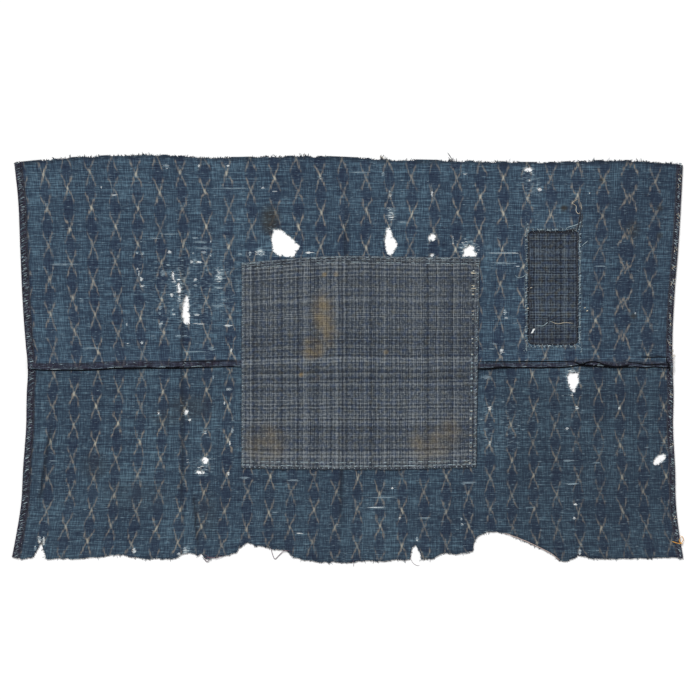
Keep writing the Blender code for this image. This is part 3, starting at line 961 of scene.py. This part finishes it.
# hems: slanted overcast stitches, mostly dark, some worn pale, and a line along the fold
for side, width in ((1, LEFT_HEM), (2, RIGHT_HEM)):
    inward = 1 if side == 1 else -1
    y = -326.0
    while y < 322:
        edge = float(along(SIDES, y, side))
        reach = width * chance.uniform(0.35, 0.75)
        start = edge + inward * chance.uniform(0.3, 0.35 * width)
        rise = chance.uniform(1.0, 4.0)
        kind = (DARK, BLUE, GREY, GREY, BLUE, PALE)[chance.integers(6)]
        stitch(kind, panel_top, (start, y), (start + inward * reach, y + rise), chance.uniform(0.45, 0.75))
        y += chance.uniform(2.0, 3.4)
    for y in np.arange(-322.0, 318.0, 2.4):
        x = float(along(SIDES, y, side)) + inward * chance.uniform(0.8, width - 0.5)
        y += chance.uniform(-1.0, 1.0)
        kind = (DARK, GREY, GREY, BLUE, DARK)[chance.integers(5)]
        end = (x + chance.uniform(-1.6, 1.6), y + chance.uniform(1.2, 2.6))
        stitch(kind, panel_top, (x, y), end, 0.55)
    for low, high in ((-320.0, -22.0), (-12.0, 318.0)):
        up = np.arange(low, high, 5.0)
        line = along(SIDES, up, side) + inward * (width + 0.4 + 0.4 * lumps(up, up, 9.0, 51))
        lay(DARK, panel_top, np.stack([line, up], 1), 0.0, 0.75)

# where the right hem has worn through to its cream thread: height, length
for y, length in (
    (299, 9), (285, 6), (236, 9), (222, 5), (180, 10), (150, 5), (125, 11),
    (100, 6), (68, 9), (55, 5), (25, 7), (-60, 5), (-143, 6), (-262, 6),
):
    for _ in range(round(length)):
        at = y + chance.uniform(-0.5, 0.5) * length
        x = float(along(SIDES, at, 2)) - chance.uniform(0.6, 6.5)
        lean = chance.uniform(-1.5, 1.5)
        stitch(CREAM, panel_top, (x, at), (x + lean, at + chance.uniform(1.0, 2.4)), 0.5)

# seam: a black strand laid under the lip as painted shadow, and the lip's worn white thread in lengths
for low, high in ((-526.0, -178.0), (218.0, 536.0)):
    run = np.arange(low, high, 3.0)
    line = np.stack([run, seam(run) - 0.9], 1)
    lay(BLACK, lower_top, line, 0.35, 1.4)
    top_fold = np.stack([run, seam(run) + (10.4 if low < 0 else 8.5) + 0.8 * lumps(run, run, 20.0, 53)], 1)
    lay(DARK, upper_top, top_fold, -0.2, 0.6)
    x = low + 3
    while x < high - 12:
        length = chance.uniform(6.0, 26.0)
        run = np.linspace(x, x + length, 8)
        line = np.stack([run, seam(run) + 0.7 + 0.3 * lumps(run, run, 5.0, 52)], 1)
        kind = PALE if chance.random() < 0.3 else BLUE
        lay(kind, upper_top, line, -0.2, 0.42)
        x += length + chance.uniform(4.0, 22.0)
    for _ in range(int((high - low) / 8)):
        x = chance.uniform(low, high - 6)
        y = float(seam(x)) + chance.uniform(2.0, 12.5)
        tilt = chance.uniform(-2.0, 2.0)
        kind = (PALE, BLUE, BLUE, DARK, DARK, DARK)[chance.integers(6)]
        stitch(kind, upper_top, (x, y), (x + chance.uniform(2.0, 6.0), y + tilt), 0.4)


def whip(kind, top, corners, pitch, inner, outer, radius):
    """Overcast stitches along a line of corners; inner and outer are their reach to its left and right."""
    corners = np.array(corners, dtype=float)
    for start, end in zip(corners[:-1], corners[1:]):
        run = np.hypot(*(end - start))
        ux, uy = (end - start) / run
        at = chance.uniform(0.2, 0.8) * pitch
        while at < run - 1:
            px, py = start + (end - start) * at / run
            lean = chance.uniform(0.5, 2.2)
            a, b = inner * chance.uniform(0.7, 1.1), outer * chance.uniform(0.7, 1.1)
            first = (px - uy * a, py + ux * a)
            last = (px + uy * b + ux * lean, py - ux * b + uy * lean)
            stitch(kind, top, first, last, radius)
            at += pitch * chance.uniform(0.75, 1.3)


def border(rows, steps):
    """Points along an edge that a table gives."""
    run = np.linspace(rows[0][0], rows[-1][0], steps)
    return np.stack([run, along(rows, run)], 1)


# large patch: overcast all round, with strands along its head and foot, and worn loops down the right
left_side, right_side = (LARGE_FOOT[0], LARGE_HEAD[0]), (LARGE_HEAD[-1], LARGE_FOOT[-1])
for kind, corners, *stitching in (
    (PALE, left_side, 9.0, -0.4, 3.6, 0.45),
    (GREY, left_side, 6.0, -0.6, 6.0, 0.55),
    (PALE, right_side, 11.0, -0.5, 3.6, 0.55),
    (GREY, right_side, 6.0, -0.5, 3.0, 0.6),
    (PALE, border(LARGE_FOOT, 8)[::-1], 8.5, -0.2, 3.2, 0.5),
    (GREY, border(LARGE_HEAD, 8), 6.0, -0.3, 3.0, 0.6),
):
    whip(kind, large_top, corners, *stitching)


def wavy(kind, rows, offset, wave, radius, share, seed):
    """Lengths of a strand along an edge, offset from it, that wander up and down."""
    run = border(rows, 240)
    run[:, 1] += offset + wave * lumps(run[:, 0], 0 * run[:, 0], 4.5, seed)
    for first in range(0, 236, 5):
        if chance.random() < share:
            piece = run[first : first + chance.integers(3, 7)]
            lay(kind, large_top, piece, 0.0, radius * chance.uniform(0.7, 1.2))


for number, strand in enumerate((
    (GREY, LARGE_HEAD, -1.2, 0.9, 0.8, 0.95),
    (PALE, LARGE_HEAD, -2.2, 1.2, 0.6, 0.5),
    (DARK, LARGE_HEAD, -3.8, 0.8, 1.0, 0.85),
    (GREY, LARGE_HEAD, -5.8, 1.0, 0.85, 0.85),
    (DARK, LARGE_HEAD, -8.0, 0.5, 0.9, 0.95),
    (PALE, LARGE_HEAD, -9.8, 0.4, 0.5, 0.6),
    (PALE, LARGE_FOOT, 5.5, 0.5, 0.55, 0.75),
    (PALE, LARGE_FOOT, 11.5, 0.5, 0.5, 0.7),
    (DARK, LARGE_FOOT, 2.4, 0.6, 0.8, 0.8),
    (DARK, LARGE_FOOT, -0.6, 0.8, 0.7, 0.5),
)):
    wavy(*strand, seed=71 + number)
for y in np.arange(-172.0, 152.0, 6.6):
    edge = LARGE_FOOT[-1][0] + (LARGE_HEAD[-1][0] - LARGE_FOOT[-1][0]) * (y + 179) / 346
    if chance.random() < 0.62:
        width, at = chance.uniform(2.0, 5.5), edge - chance.uniform(9.0, 11.0)
        for step in range(chance.integers(1, 4)):
            y2 = y + 0.9 * step
            kind = CREAM if chance.random() < 0.35 else PALE
            stitch(kind, large_top, (at - width / 2, y2), (at + width / 2, y2 + 0.3), 0.5)
    if chance.random() < 0.4:
        stitch(PALE, large_top, (edge - 5.0, y + 2), (edge - 1.5, y + 2.6), 0.5)
    for inset, share in ((12.8, 0.75), (7.2, 0.5), (0.4, 0.8)):
        if chance.random() < share:
            up = np.linspace(y, y + chance.uniform(3.0, 7.0), 5)
            lay(DARK, large_top, np.stack([0 * up + edge - inset, up], 1), 0.0, 0.6)
for y, width in ((141.0, 9.0), (121.0, 8.0), (116.0, 10.0), (142.5, 5.0)):
    stitch(CREAM, large_top, (203.0, y), (203.0 + width, y + 0.4), 0.7)

# seam at the right: two more folds of the lap, pulled tight; these and a few at the left get black strands
# along them as painted shadow lines
FOLDS = (
    (((213, -15.8), (232, -15.8), (250, -14), (270, -13)), 1.7),
    (((216, -4.6), (270, -4.6), (330, -4), (372, -3.8)), 1.1),
    (((372, -4), (384, -8.6), (396, -5.6), (408, -4.8), (418, -8), (430, -11), (442, -12.4)), 1.5),
    (((420, -9.6), (432, -12.6), (444, -13.2), (456, -12), (464, -9.6)), 1.9),
    (((384, -10.6), (400, -12), (415, -9)), 1.1),
    (((462, -5), (480, -7.5), (495, -9.6), (515, -9), (532, -10)), 1.1),
    (((484, 3.4), (500, 2.4), (515, 3.2), (528, 1.6)), 0.8),
    (((527, 4), (526, -3), (529, -9), (530, -20)), 1.2),
    (((-182, -3), (-230, -3.4), (-280, -4.4)), 0.8),
    (((-385, -14), (-360, -15.5), (-330, -14), (-318, -15)), 1.5),
    (((-300, -13), (-290, -14.4), (-276, -12.6)), 1.4),
)
for corners, radius in FOLDS:
    lay(BLACK, upper_top, through(corners, 10), 0.0, radius)
for x, y, turn, length in (
    (533, 2, 0.3, 8), (534, 5.5, 0.9, 8), (533, 8.5, 0.5, 6), (532.5, 11.5, 0.2, 7),
    (534, -1.5, -0.2, 6), (532, 14, 1.2, 5), (535, 4, 0.1, 7),
):
    t = np.linspace(0, 1, 5)
    line = np.stack([x + length * t * np.cos(turn + 0.5 * t), y + length * t * np.sin(turn + 0.5 * t)], 1)
    z = upper_top(line[:, 0], line[:, 1]) * (1 - 0.6 * t)
    CREAM.append((np.column_stack([line, z]), 0.5))

# the small patch's window: overcast all round, and dark strands just inside its edge as painted shadow of
# the cut edge
x0, y0, x1, y1 = WINDOW
c = WINDOW_CORNER * 0.4
ring = [
    (x0 + c, y1 - c * 0.2), (x1 - c, y1 - c * 0.2), (x1, y1 - c), (x1, y0 + c), (x1 - c, y0), (x0 + c, y0),
    (x0, y0 + c), (x0, y1 - c), (x0 + c, y1 - c * 0.2),
]
slit = np.array(through(ring, 30))
middle = np.array([(x0 + x1) / 2, (y0 + y1) / 2])
half = np.array([(x1 - x0) / 2, (y1 - y0) / 2])


def beside(first, last, out, wave, seed):
    """Part of the window's edge, moved out from it or in."""
    drawn = slit[first:last]
    drawn = middle + (drawn - middle) * (1 + out / half)
    return drawn + wave * np.stack([lumps(*drawn.T, 5.0, seed), lumps(*drawn.T, 5.0, seed + 1)], 1)


for first in range(0, len(slit) - 2, 2):
    # dark strands just inside the edge: painted shadow of the panel's cut edge on the patch
    if chance.random() < 0.8:
        size = chance.uniform(0.6, 1.3)
        slack = beside(first, first + 5, -chance.uniform(0.5, 4.0), 1.0, 81)
        lay(DARK, small_top, slack, 0.3, size)
    if chance.random() < 0.42:
        slack = beside(first, first + 3, chance.uniform(1.0, 2.6), 0.7, 83)
        lay(PALE, upper_top, slack, 0.1, 0.75)
    if chance.random() < 0.5:
        slack = beside(first, first + 4, chance.uniform(1.5, 5.0), 0.9, 85)
        lay(BLUE, upper_top, slack, 0.0, 0.55)
whip(PALE, upper_top, ring, 7.0, 4.6, -0.8, 0.7)
whip(DARK, upper_top, ring, 8.0, 5.4, -1.4, 0.7)
whip(GREY, upper_top, ring, 9.0, 4.0, 2.0, 0.6)
# the darned slit that runs up from its top right corner, the pucker and the tear at its foot
for points, radius, kind in (
    (((378, 212), (381, 222), (383.5, 236), (385, 249)), 1.4, DARK),
    (((383, 213), (386, 224), (387.5, 240)), 0.9, DARK),
    (((376.5, 214), (368, 213), (360, 211.5)), 1.1, DARK),
    (((361, 216.5), (370, 219), (379, 222), (388, 228)), 0.6, PALE),
    (((352, 214.5), (362, 213.6), (372, 216), (380, 219)), 0.5, BLUE),
    (((312, 55.5), (322, 54.5), (331, 60.5), (337, 62.5)), 0.6, PALE),
    (((323, 53.5), (330, 59.5), (338, 66.5), (347, 70)), 0.8, DARK),
    (((336, 62), (346, 58), (358, 60), (372, 59)), 0.45, CREAM),
    (((300, 100), (303, 92), (302, 84)), 0.9, DARK),
):
    top = small_top if points[0][1] < 120 else upper_top
    lay(kind, top, through(points), 0.5, radius)
for step in range(7):
    stitch(BARE, small_top, (302.5 + 0.5 * step, 42.5 + step), (306.5 + 0.5 * step, 43.8 + step), 0.7)
for x, y in ((302.5, 117.0), (297.0, 83.0), (395.0, 79.0), (391.0, 84.0)):
    stitch(CREAM, upper_top, (x - 1.5, y), (x + 2.0, y + 1.0), 0.8)


def fray(kind, top, rows, each, reach, radius=0.3):
    """Short ends of thread that stick out of a cut edge."""
    for x, y, ox, oy in rows:
        for _ in range(chance.poisson(each)):
            turn = math.atan2(oy, ox) + chance.normal(0, 0.55)
            length = reach * min(0.35 + chance.exponential(0.45), 2.2)
            curl = chance.normal(0, 0.5)
            t = np.linspace(0, 1, 5)
            away = -1.6 + t * (length + 1.6)
            px = x + away * np.cos(turn + curl * t)
            py = y + away * np.sin(turn + curl * t)
            z = float(top(np.array([x]), np.array([y]))[0])
            pz = np.maximum(z - 0.3 - (z - 0.5) * 0.8 * t, 0.35)
            kind.append((np.stack([px, py, pz], 1), radius))


raw = upper_edge[upper_edge[:, 1] > along(TOP_EDGE, upper_edge[:, 0]) - 6]
fray(DARK, upper_top, raw, 2.2, 2.5, 0.4)
fray(BLUE, upper_top, raw, 0.7, 3.2, 0.25)
# tufts on the raw edge: place along it, number of ends
for x, count in ((-73, 16), (168, 26), (172, 12), (57, 12), (-379, 8), (-458, 8), (-133, 8), (452, 8)):
    tuft = np.column_stack([chance.normal(x, 2.5, count), np.zeros(count), np.zeros(count), np.ones(count)])
    tuft[:, 1] = along(TOP_EDGE, tuft[:, 0]) - 1.5
    fray(DARK, upper_top, tuft, 1.0, 4.5, 0.4)
torn = lower_edge[lower_edge[:, 1] < torn_edge(lower_edge[:, 0]) + 6]
fray(DARK, lower_top, torn, 1.2, 2.4)
fray(BLUE, lower_top, torn, 0.5, 3.0, 0.25)
for edge, top in ((upper_edge, upper_top), (lower_edge, lower_top)):
    near = (from_holes(edge[:, 0], edge[:, 1]) < 5) & (np.abs(edge[:, 1]) < 315)
    fray(BLUE, top, edge[near], 0.8, 2.6, 0.35)
    fray(PALE, top, edge[near], 0.7, 2.6, 0.35)

# Spots worn to the bare white weft: middle x and y, width, height, share of white.
WORN_SPOTS = (
    (-293.5, 176.3, 9.5, 4.5, 1), (-347, 175, 6, 3, 0.4), (-337, 174.4, 6, 4, 0.6),
    (-340, 193.5, 8, 2, 0.2), (-257, 160.5, 9, 5, 1), (-244, 160, 11, 4, 0.8), (-289.8, 105.6, 8, 6.5, 0.9),
    (-285, 128, 5, 5, 0.9), (-340, 132, 7, 6.5, 1), (-346.5, 149, 5, 3.5, 0.9), (-344, 141, 2.5, 10, 0.5),
    (-250.8, 131, 8, 4.5, 1), (-337.6, 120.4, 11, 3, 0.2), (-160.9, 174.4, 7, 7, 0.5),
    (-177, 173, 10, 3, 0.3), (-237.5, 175.9, 16, 3, 0.4), (-225.7, 172, 5, 5, 0.4),
    (-225.7, 193.5, 4, 3, 0.7), (-252.3, 200, 13, 3, 0.2), (-254.4, 174.4, 5, 3, 0.3),
    (-287.6, 82.3, 5, 4, 0.8), (-286, 74.2, 8, 4, 0.7), (-309, 84.5, 8, 6, 0.15), (-309.7, 75, 7, 5, 0.15),
    (-306, 60, 6, 6, 0.15), (-248.5, 73.4, 15, 6, 0.45), (-246.7, 58, 24, 1.8, 0.5),
    (-197.7, 55, 17, 4, 0.9), (-339, 27, 7, 5, 0.8), (-362.7, 24, 5, 4, 1), (-320, 38, 18, 1.8, 0.2),
    (-191.7, 14.5, 5, 5, 1), (-203.7, 97.8, 13, 4, 0.1), (-261, 111, 4, 6, 0.3),
    (-250.8, 121.4, 10, 3.5, 0.2), (-364, 57, 4, 5, 0.7), (-197, 318.6, 8, 3, 1), (-245, 318.6, 4, 5, 0.7),
    (-298, 318, 12, 9, 0.1), (-139.5, 282, 9, 3.5, 0.9), (-120, 277, 12, 2, 0.3), (-385, 270.6, 13, 2, 0.5),
    (-406, 283, 3, 3, 1), (-64, 175.5, 16, 4, 0.9), (-473, 156, 70, 3, 0.05), (192.3, 305.7, 12, 3, 0.9),
    (59, 305, 8, 8, 0.1), (139.5, 272, 4, 9, 0.8), (174, 197, 3, 14, 0.4), (252, 175, 60, 1.8, 0.1),
    (280, 153, 10, 2, 0.3), (259, 77.5, 8, 9, 0.5), (275, 59, 16, 2, 0.3), (254, 13, 10, 8, 0.6),
    (474.6, 75.4, 4, 3, 0.8), (399, 274, 3, 3, 0.9), (-311.8, -88.4, 7, 8, 0.5), (-260, -100, 7, 4, 0.5),
    (-235, -121, 8, 5, 0.9), (-221, -30, 4, 5, 0.4), (-189.3, -100, 5, 6, 1), (-203, -72.6, 4, 6, 0.6),
    (-194, -72.6, 4, 4, 0.5), (-194, -138.6, 5, 7, 0.7), (-265, -168, 9, 5, 0.7), (-196.5, -189, 6, 6, 0.7),
    (-79, -287.6, 14, 2, 0.4), (-484.6, -168, 24, 1.6, 0.2), (-188, 281.5, 84, 1.6, 0),
    (-292, 206, 46, 1.6, 0), (-240, 193, 30, 3.4, 0), (-320, 199, 26, 1.6, 0), (-236, 183, 34, 3.4, 0.1),
    (-305, 142, 12, 10, 0), (-296, 155, 10, 3, 0), (-277, 100, 6, 12, 0.5), (-309, 55, 9, 9, 0.1),
    (-276, 38, 34, 3.2, 0), (-212, 88, 40, 3, 0), (-213, 118, 22, 3, 0.1), (-420, 18, 40, 1.6, 0),
    (-250, 12, 60, 1.6, 0), (-224, 17, 14, 6, 0), (20, 308, 60, 1.6, 0), (90, 226, 20, 3, 0),
    (255, 158, 46, 3, 0), (243, 25, 18, 1.8, 0), (238, 17, 14, 1.8, 0), (262, 68, 10, 3.4, 0.2),
    (420, 153, 36, 1.6, 0), (230, -30, 20, 6, 0), (-90, -200, 30, 3, 0), (60, -228, 60, 1.6, 0),
    (50, -245, 46, 3.2, 0.05), (200, -204, 40, 3.2, 0), (300, -245, 40, 1.6, 0), (370, -206, 30, 3.2, 0.1),
    (-196, -50, 14, 4, 0.1), (-190, -118, 7, 8, 0.4), (-170, -196, 26, 3, 0.1), (-508, -298, 9, 12, 0.7),
    (-515, -312, 6, 8, 0.3), (-501, -300, 6, 14, 0.6), (-352, -316, 9, 9, 0.6), (-268, -317, 9, 14, 0.6),
    (-278, -322, 8, 7, 0.6), (234.6, -81, 7, 6, 0.8), (378.6, -80, 9, 5, 0.7), (448, -81, 5, 5, 0.9),
    (361.8, -114.8, 8, 3.5, 0.9), (362, -167.6, 26, 3.5, 0.2), (376, -239.5, 9, 4, 0.7),
    (374, -262.5, 6, 5, 0.6), (73.6, -213, 6, 3, 0.9), (85.8, -262.6, 8, 3.5, 0.8), (188, -264, 5, 5, 0.4),
    (189, -273, 7, 4, 0.4), (114.6, -297, 6, 7, 0.6), (383, -318, 7, 9, 0.8), (234.6, -138.7, 6, 6, 0.3),
    (410, -171, 20, 1.8, 0.1), (128, -262, 30, 1.8, 0.1), (-120, -253, 18, 1.8, 0.1),
)
# Scratchy thin places: middle x and y, half width, half height, how many threads, length.
BARE_WEFTS = (
    (-143.5, 176, 7, 7, 34, 5), (-211, 140, 5, 11, 34, 4.5), (-210, 131, 9, 3, 8, 8),
    (72, 240, 6, 14, 26, 6), (70.6, 272, 3, 6, 6, 3), (200, 186, 15, 12, 30, 5), (370, -20, 10, 3, 12, 7),
    (366, -58, 8, 4, 6, 6), (300, 312, 10, 5, 8, 5), (-240, -176, 16, 9, 12, 6), (-125, 205, 6, 14, 10, 4),
    (0, 0, 500, 300, 46, 8),
)


def on_cloth(x, y):
    """Whether a bare spot of the widths shows: not in a hole, nor under the large patch."""
    x, y = np.array([x]), np.array([y])
    x0, y0, x1, y1 = UNDER_LARGE
    under = (x > x0) & (x < x1) & (y > y0) & (y < y1)
    inside = np.where(y > seam(x), upper_inside(x, y), lower_inside(x, y))
    return bool((inside > 0.6)[0] and not under[0])


def weft(x, y, length, kind):
    """A length of bare weft that has come up through the weave."""
    run = np.linspace(x - length / 2, x + length / 2, 5)
    line = np.stack([run, y + 0.35 * lumps(run, 0 * run + y, 4.0, 61)], 1)
    lay(kind, panel_top, line, -0.3, chance.uniform(0.45, 0.65))


for cx, cy, width, height, white in WORN_SPOTS:
    rows = max(1, round(height / 0.85))
    for row in range(rows):
        across = (row + 0.5) / rows * 2 - 1
        length = width * math.sqrt(1 - across**2) * chance.uniform(0.6, 1.1)
        x, y = cx + width * chance.normal(0, 0.07), cy + across * height / 2
        if on_cloth(x, y):
            weft(x, y, max(length, 2.2), BARE if chance.random() < white else HAZE)
for cx, cy, half_x, half_y, count, length in BARE_WEFTS:
    for _ in range(count):
        x, y = cx + half_x * chance.normal(0, 0.5), cy + half_y * chance.normal(0, 0.5)
        if half_x > 100:
            x, y = chance.uniform(-510, 510), chance.uniform(-320, 320)
        if on_cloth(x, y) and to_window(np.array([x]), np.array([y]))[0] > 5:
            kind = (BARE if chance.random() < 0.6 else PALE) if half_x < 100 else HAZE
            weft(x, y, length * chance.uniform(0.4, 1.2), kind)

cream_thread = cotton_thread("cream_cotton_thread", "cfc7b2", "a39a88")
pale_thread = cotton_thread("pale_blue_cotton_thread", "a3b6bd", "75898f")
haze_thread = cotton_thread("faded_weft", "8fa2ac", "7a8e9a")
grey_thread = cotton_thread("grey_cotton_thread", "76838a", "505d68")
blue_thread = cotton_thread("faded_indigo_thread", "566b79", "33424f")
# near-black thread for the painted shadow lines under the seam's lip and along the lap's folds
black_thread = cotton_thread("painted_shadow_thread", "030408", "080a12", 0.0)
dark_thread = cotton_thread("dark_indigo_thread", "10141f", "1f2937")
bare_thread = cotton_thread("undyed_cotton_thread", "eef0ee", "cfd8da")
purple_thread = cotton_thread("purple_cotton_thread", "4a3446", "6a5662")
orange_thread = cotton_thread("orange_cotton_thread", "dba548", "c2862c")
pink_thread = cotton_thread("faded_pink_thread", "c9b3a8", "b09a94")

# Loose ends: where each runs, radius, kind of thread.
slope = np.arange(258.0, 352.0, 4.0)
pink_edge = tuple(zip(slope, torn_edge(slope) + 0.2 + 0.4 * lumps(slope, slope, 12.0, 54)))
LOOSE = (
    (((-126.5, -310), (-124.6, -319.6), (-120, -329.8), (-113.4, -324.2), (-104, -316),
     (-93, -317)), 0.5, purple_thread),
    (((-236, -322), (-227.4, -328.9), (-231.8, -334.5), (-235.5, -329.8), (-227, -327), (-216, -328),
     (-207, -325)), 0.55, purple_thread),
    (((103.5, -325), (104.1, -329), (107.7, -336.1), (113.4, -340.2), (118.9, -340.7)), 0.3, purple_thread),
    (((10, -331), (9.6, -337), (10.3, -343)), 0.25, purple_thread),
    (((535.4, -300.8), (543.7, -303.6), (553.1, -304.4)), 0.7, orange_thread),
    (((548.5, -291.5), (552.6, -293.5), (553.6, -298), (550.5, -303), (547, -300),
     (549.3, -294)), 0.6, orange_thread),
    (((172, 330), (169, 335), (165, 340.5)), 0.5, dark_thread),
    (((-71, 329), (-72, 334), (-73, 338.5)), 0.6, dark_thread),
    (((-79, 331), (-78, 336), (-80.5, 340)), 0.3, dark_thread),
    (((60, 330), (57, 333), (53, 335)), 0.4, cream_thread),
    (((380, 264), (370.5, 257.4), (377, 252.5), (377, 244.2), (381, 239.5), (384.6, 244.2),
     (385.8, 251.3), (384.1, 259)), 0.45, cream_thread),
    (((386.6, 186.5), (391, 190.5), (396.3, 194.7)), 0.45, pale_thread),
    (pink_edge, 0.5, pink_thread),
    (((276, 138), (282, 134), (290, 136), (296, 141)), 0.4, pale_thread),
)
pieces = [
    threads("cream_threads", CREAM, cream_thread),
    threads("pale_threads", PALE, pale_thread),
    threads("faded_threads", BLUE, blue_thread),
    threads("grey_threads", GREY, grey_thread),
    threads("dark_threads", DARK, dark_thread),
    threads("fold_shadows", BLACK, black_thread),
    threads("bare_wefts", BARE, bare_thread),
    threads("faded_wefts", HAZE, haze_thread),
]
for number, (points, radius, material) in enumerate(LOOSE):
    line = through(points)
    z = np.maximum(panel_top(line[:, 0], line[:, 1]), radius) + 0.4
    inside = (upper_inside if points[0][1] > 0 else lower_inside)(line[:, 0], line[:, 1])
    z = np.where(inside > 0, z, radius + 0.2 + (z - radius) * np.exp(inside / 4))
    pieces.append(threads(f"loose_thread_{number + 1}", [(np.column_stack([line, z]), radius)], material, 6))

# ---------------- floor, light and camera

FLOOR_HALF = 2.4
FLOOR_DROP = 0.0002
SUN_FROM, SUN_POWER, SUN_SPREAD = (-1.1, 2.2, 2.2), 2.6, 24.0
SKY_POWER = 0.6
CAMERA_PLACE = (0.0041, 0.0149, 4.2)
VIEW_WIDTH = 1.155
SENSOR_WIDTH = 36.0


def paper_floor():
    """A flat square of matt white paper, evenly pale."""
    material = bpy.data.materials.new("white_paper")
    material.use_nodes = True
    tree = material.node_tree
    shader = tree.nodes["Principled BSDF"]
    shader.inputs["Roughness"].default_value = 1.0
    shader.inputs["Specular IOR Level"].default_value = 0.0
    grain = add(tree, "TexNoise", {"Scale": 9.0, "Detail": 2.0})
    colour = blend(grain, "f6f6f6", "fafafa")
    tree.links.new(colour, shader.inputs["Base Color"])
    mesh = bpy.data.meshes.new("paper_floor")
    h = FLOOR_HALF
    mesh.from_pydata([(-h, -h, 0), (h, -h, 0), (h, h, 0), (-h, h, 0)], [], [(0, 1, 2, 3)])
    mesh.materials.append(material)
    floor = put("paper_floor", mesh)
    floor.location.z = -FLOOR_DROP


def soft_sun():
    """A broad, even light from one side, as a large softbox far off gives."""
    data = bpy.data.lights.new("window_light", "SUN")
    data.energy = SUN_POWER
    data.angle = math.radians(SUN_SPREAD)
    light = put("window_light", data)
    light.location = SUN_FROM
    light.rotation_euler = (-light.location).to_track_quat("-Z", "Y").to_euler()


def straight_down_camera():
    """A long lens straight above the cloth."""
    data = bpy.data.cameras.new("camera")
    data.sensor_width = SENSOR_WIDTH
    data.lens = SENSOR_WIDTH * CAMERA_PLACE[2] / VIEW_WIDTH
    data.clip_end = 30.0
    camera = put("camera", data)
    camera.location = CAMERA_PLACE
    bpy.context.scene.camera = camera


paper_floor()
soft_sun()
straight_down_camera()
world = bpy.data.worlds.new("studio")
world.use_nodes = True
world.node_tree.nodes["Background"].inputs["Color"].default_value = (1.0, 1.0, 1.0, 1.0)
world.node_tree.nodes["Background"].inputs["Strength"].default_value = SKY_POWER
bpy.context.scene.world = world
bpy.context.scene.view_settings.view_transform = "Standard"

# ---------------- each sheet with the part that it stands for, whose solid is hidden

for piece, node, slot in (
    (upper, "panel_upper", "indigo_cotton"),
    (lower, "panel_lower", "indigo_cotton"),
    (large, "patch_large", "check_cotton"),
    (small, "patch_small", "dark_check_cotton"),
):
    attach(piece, "root")
    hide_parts(node)

for piece in pieces:
    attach(piece, "root")
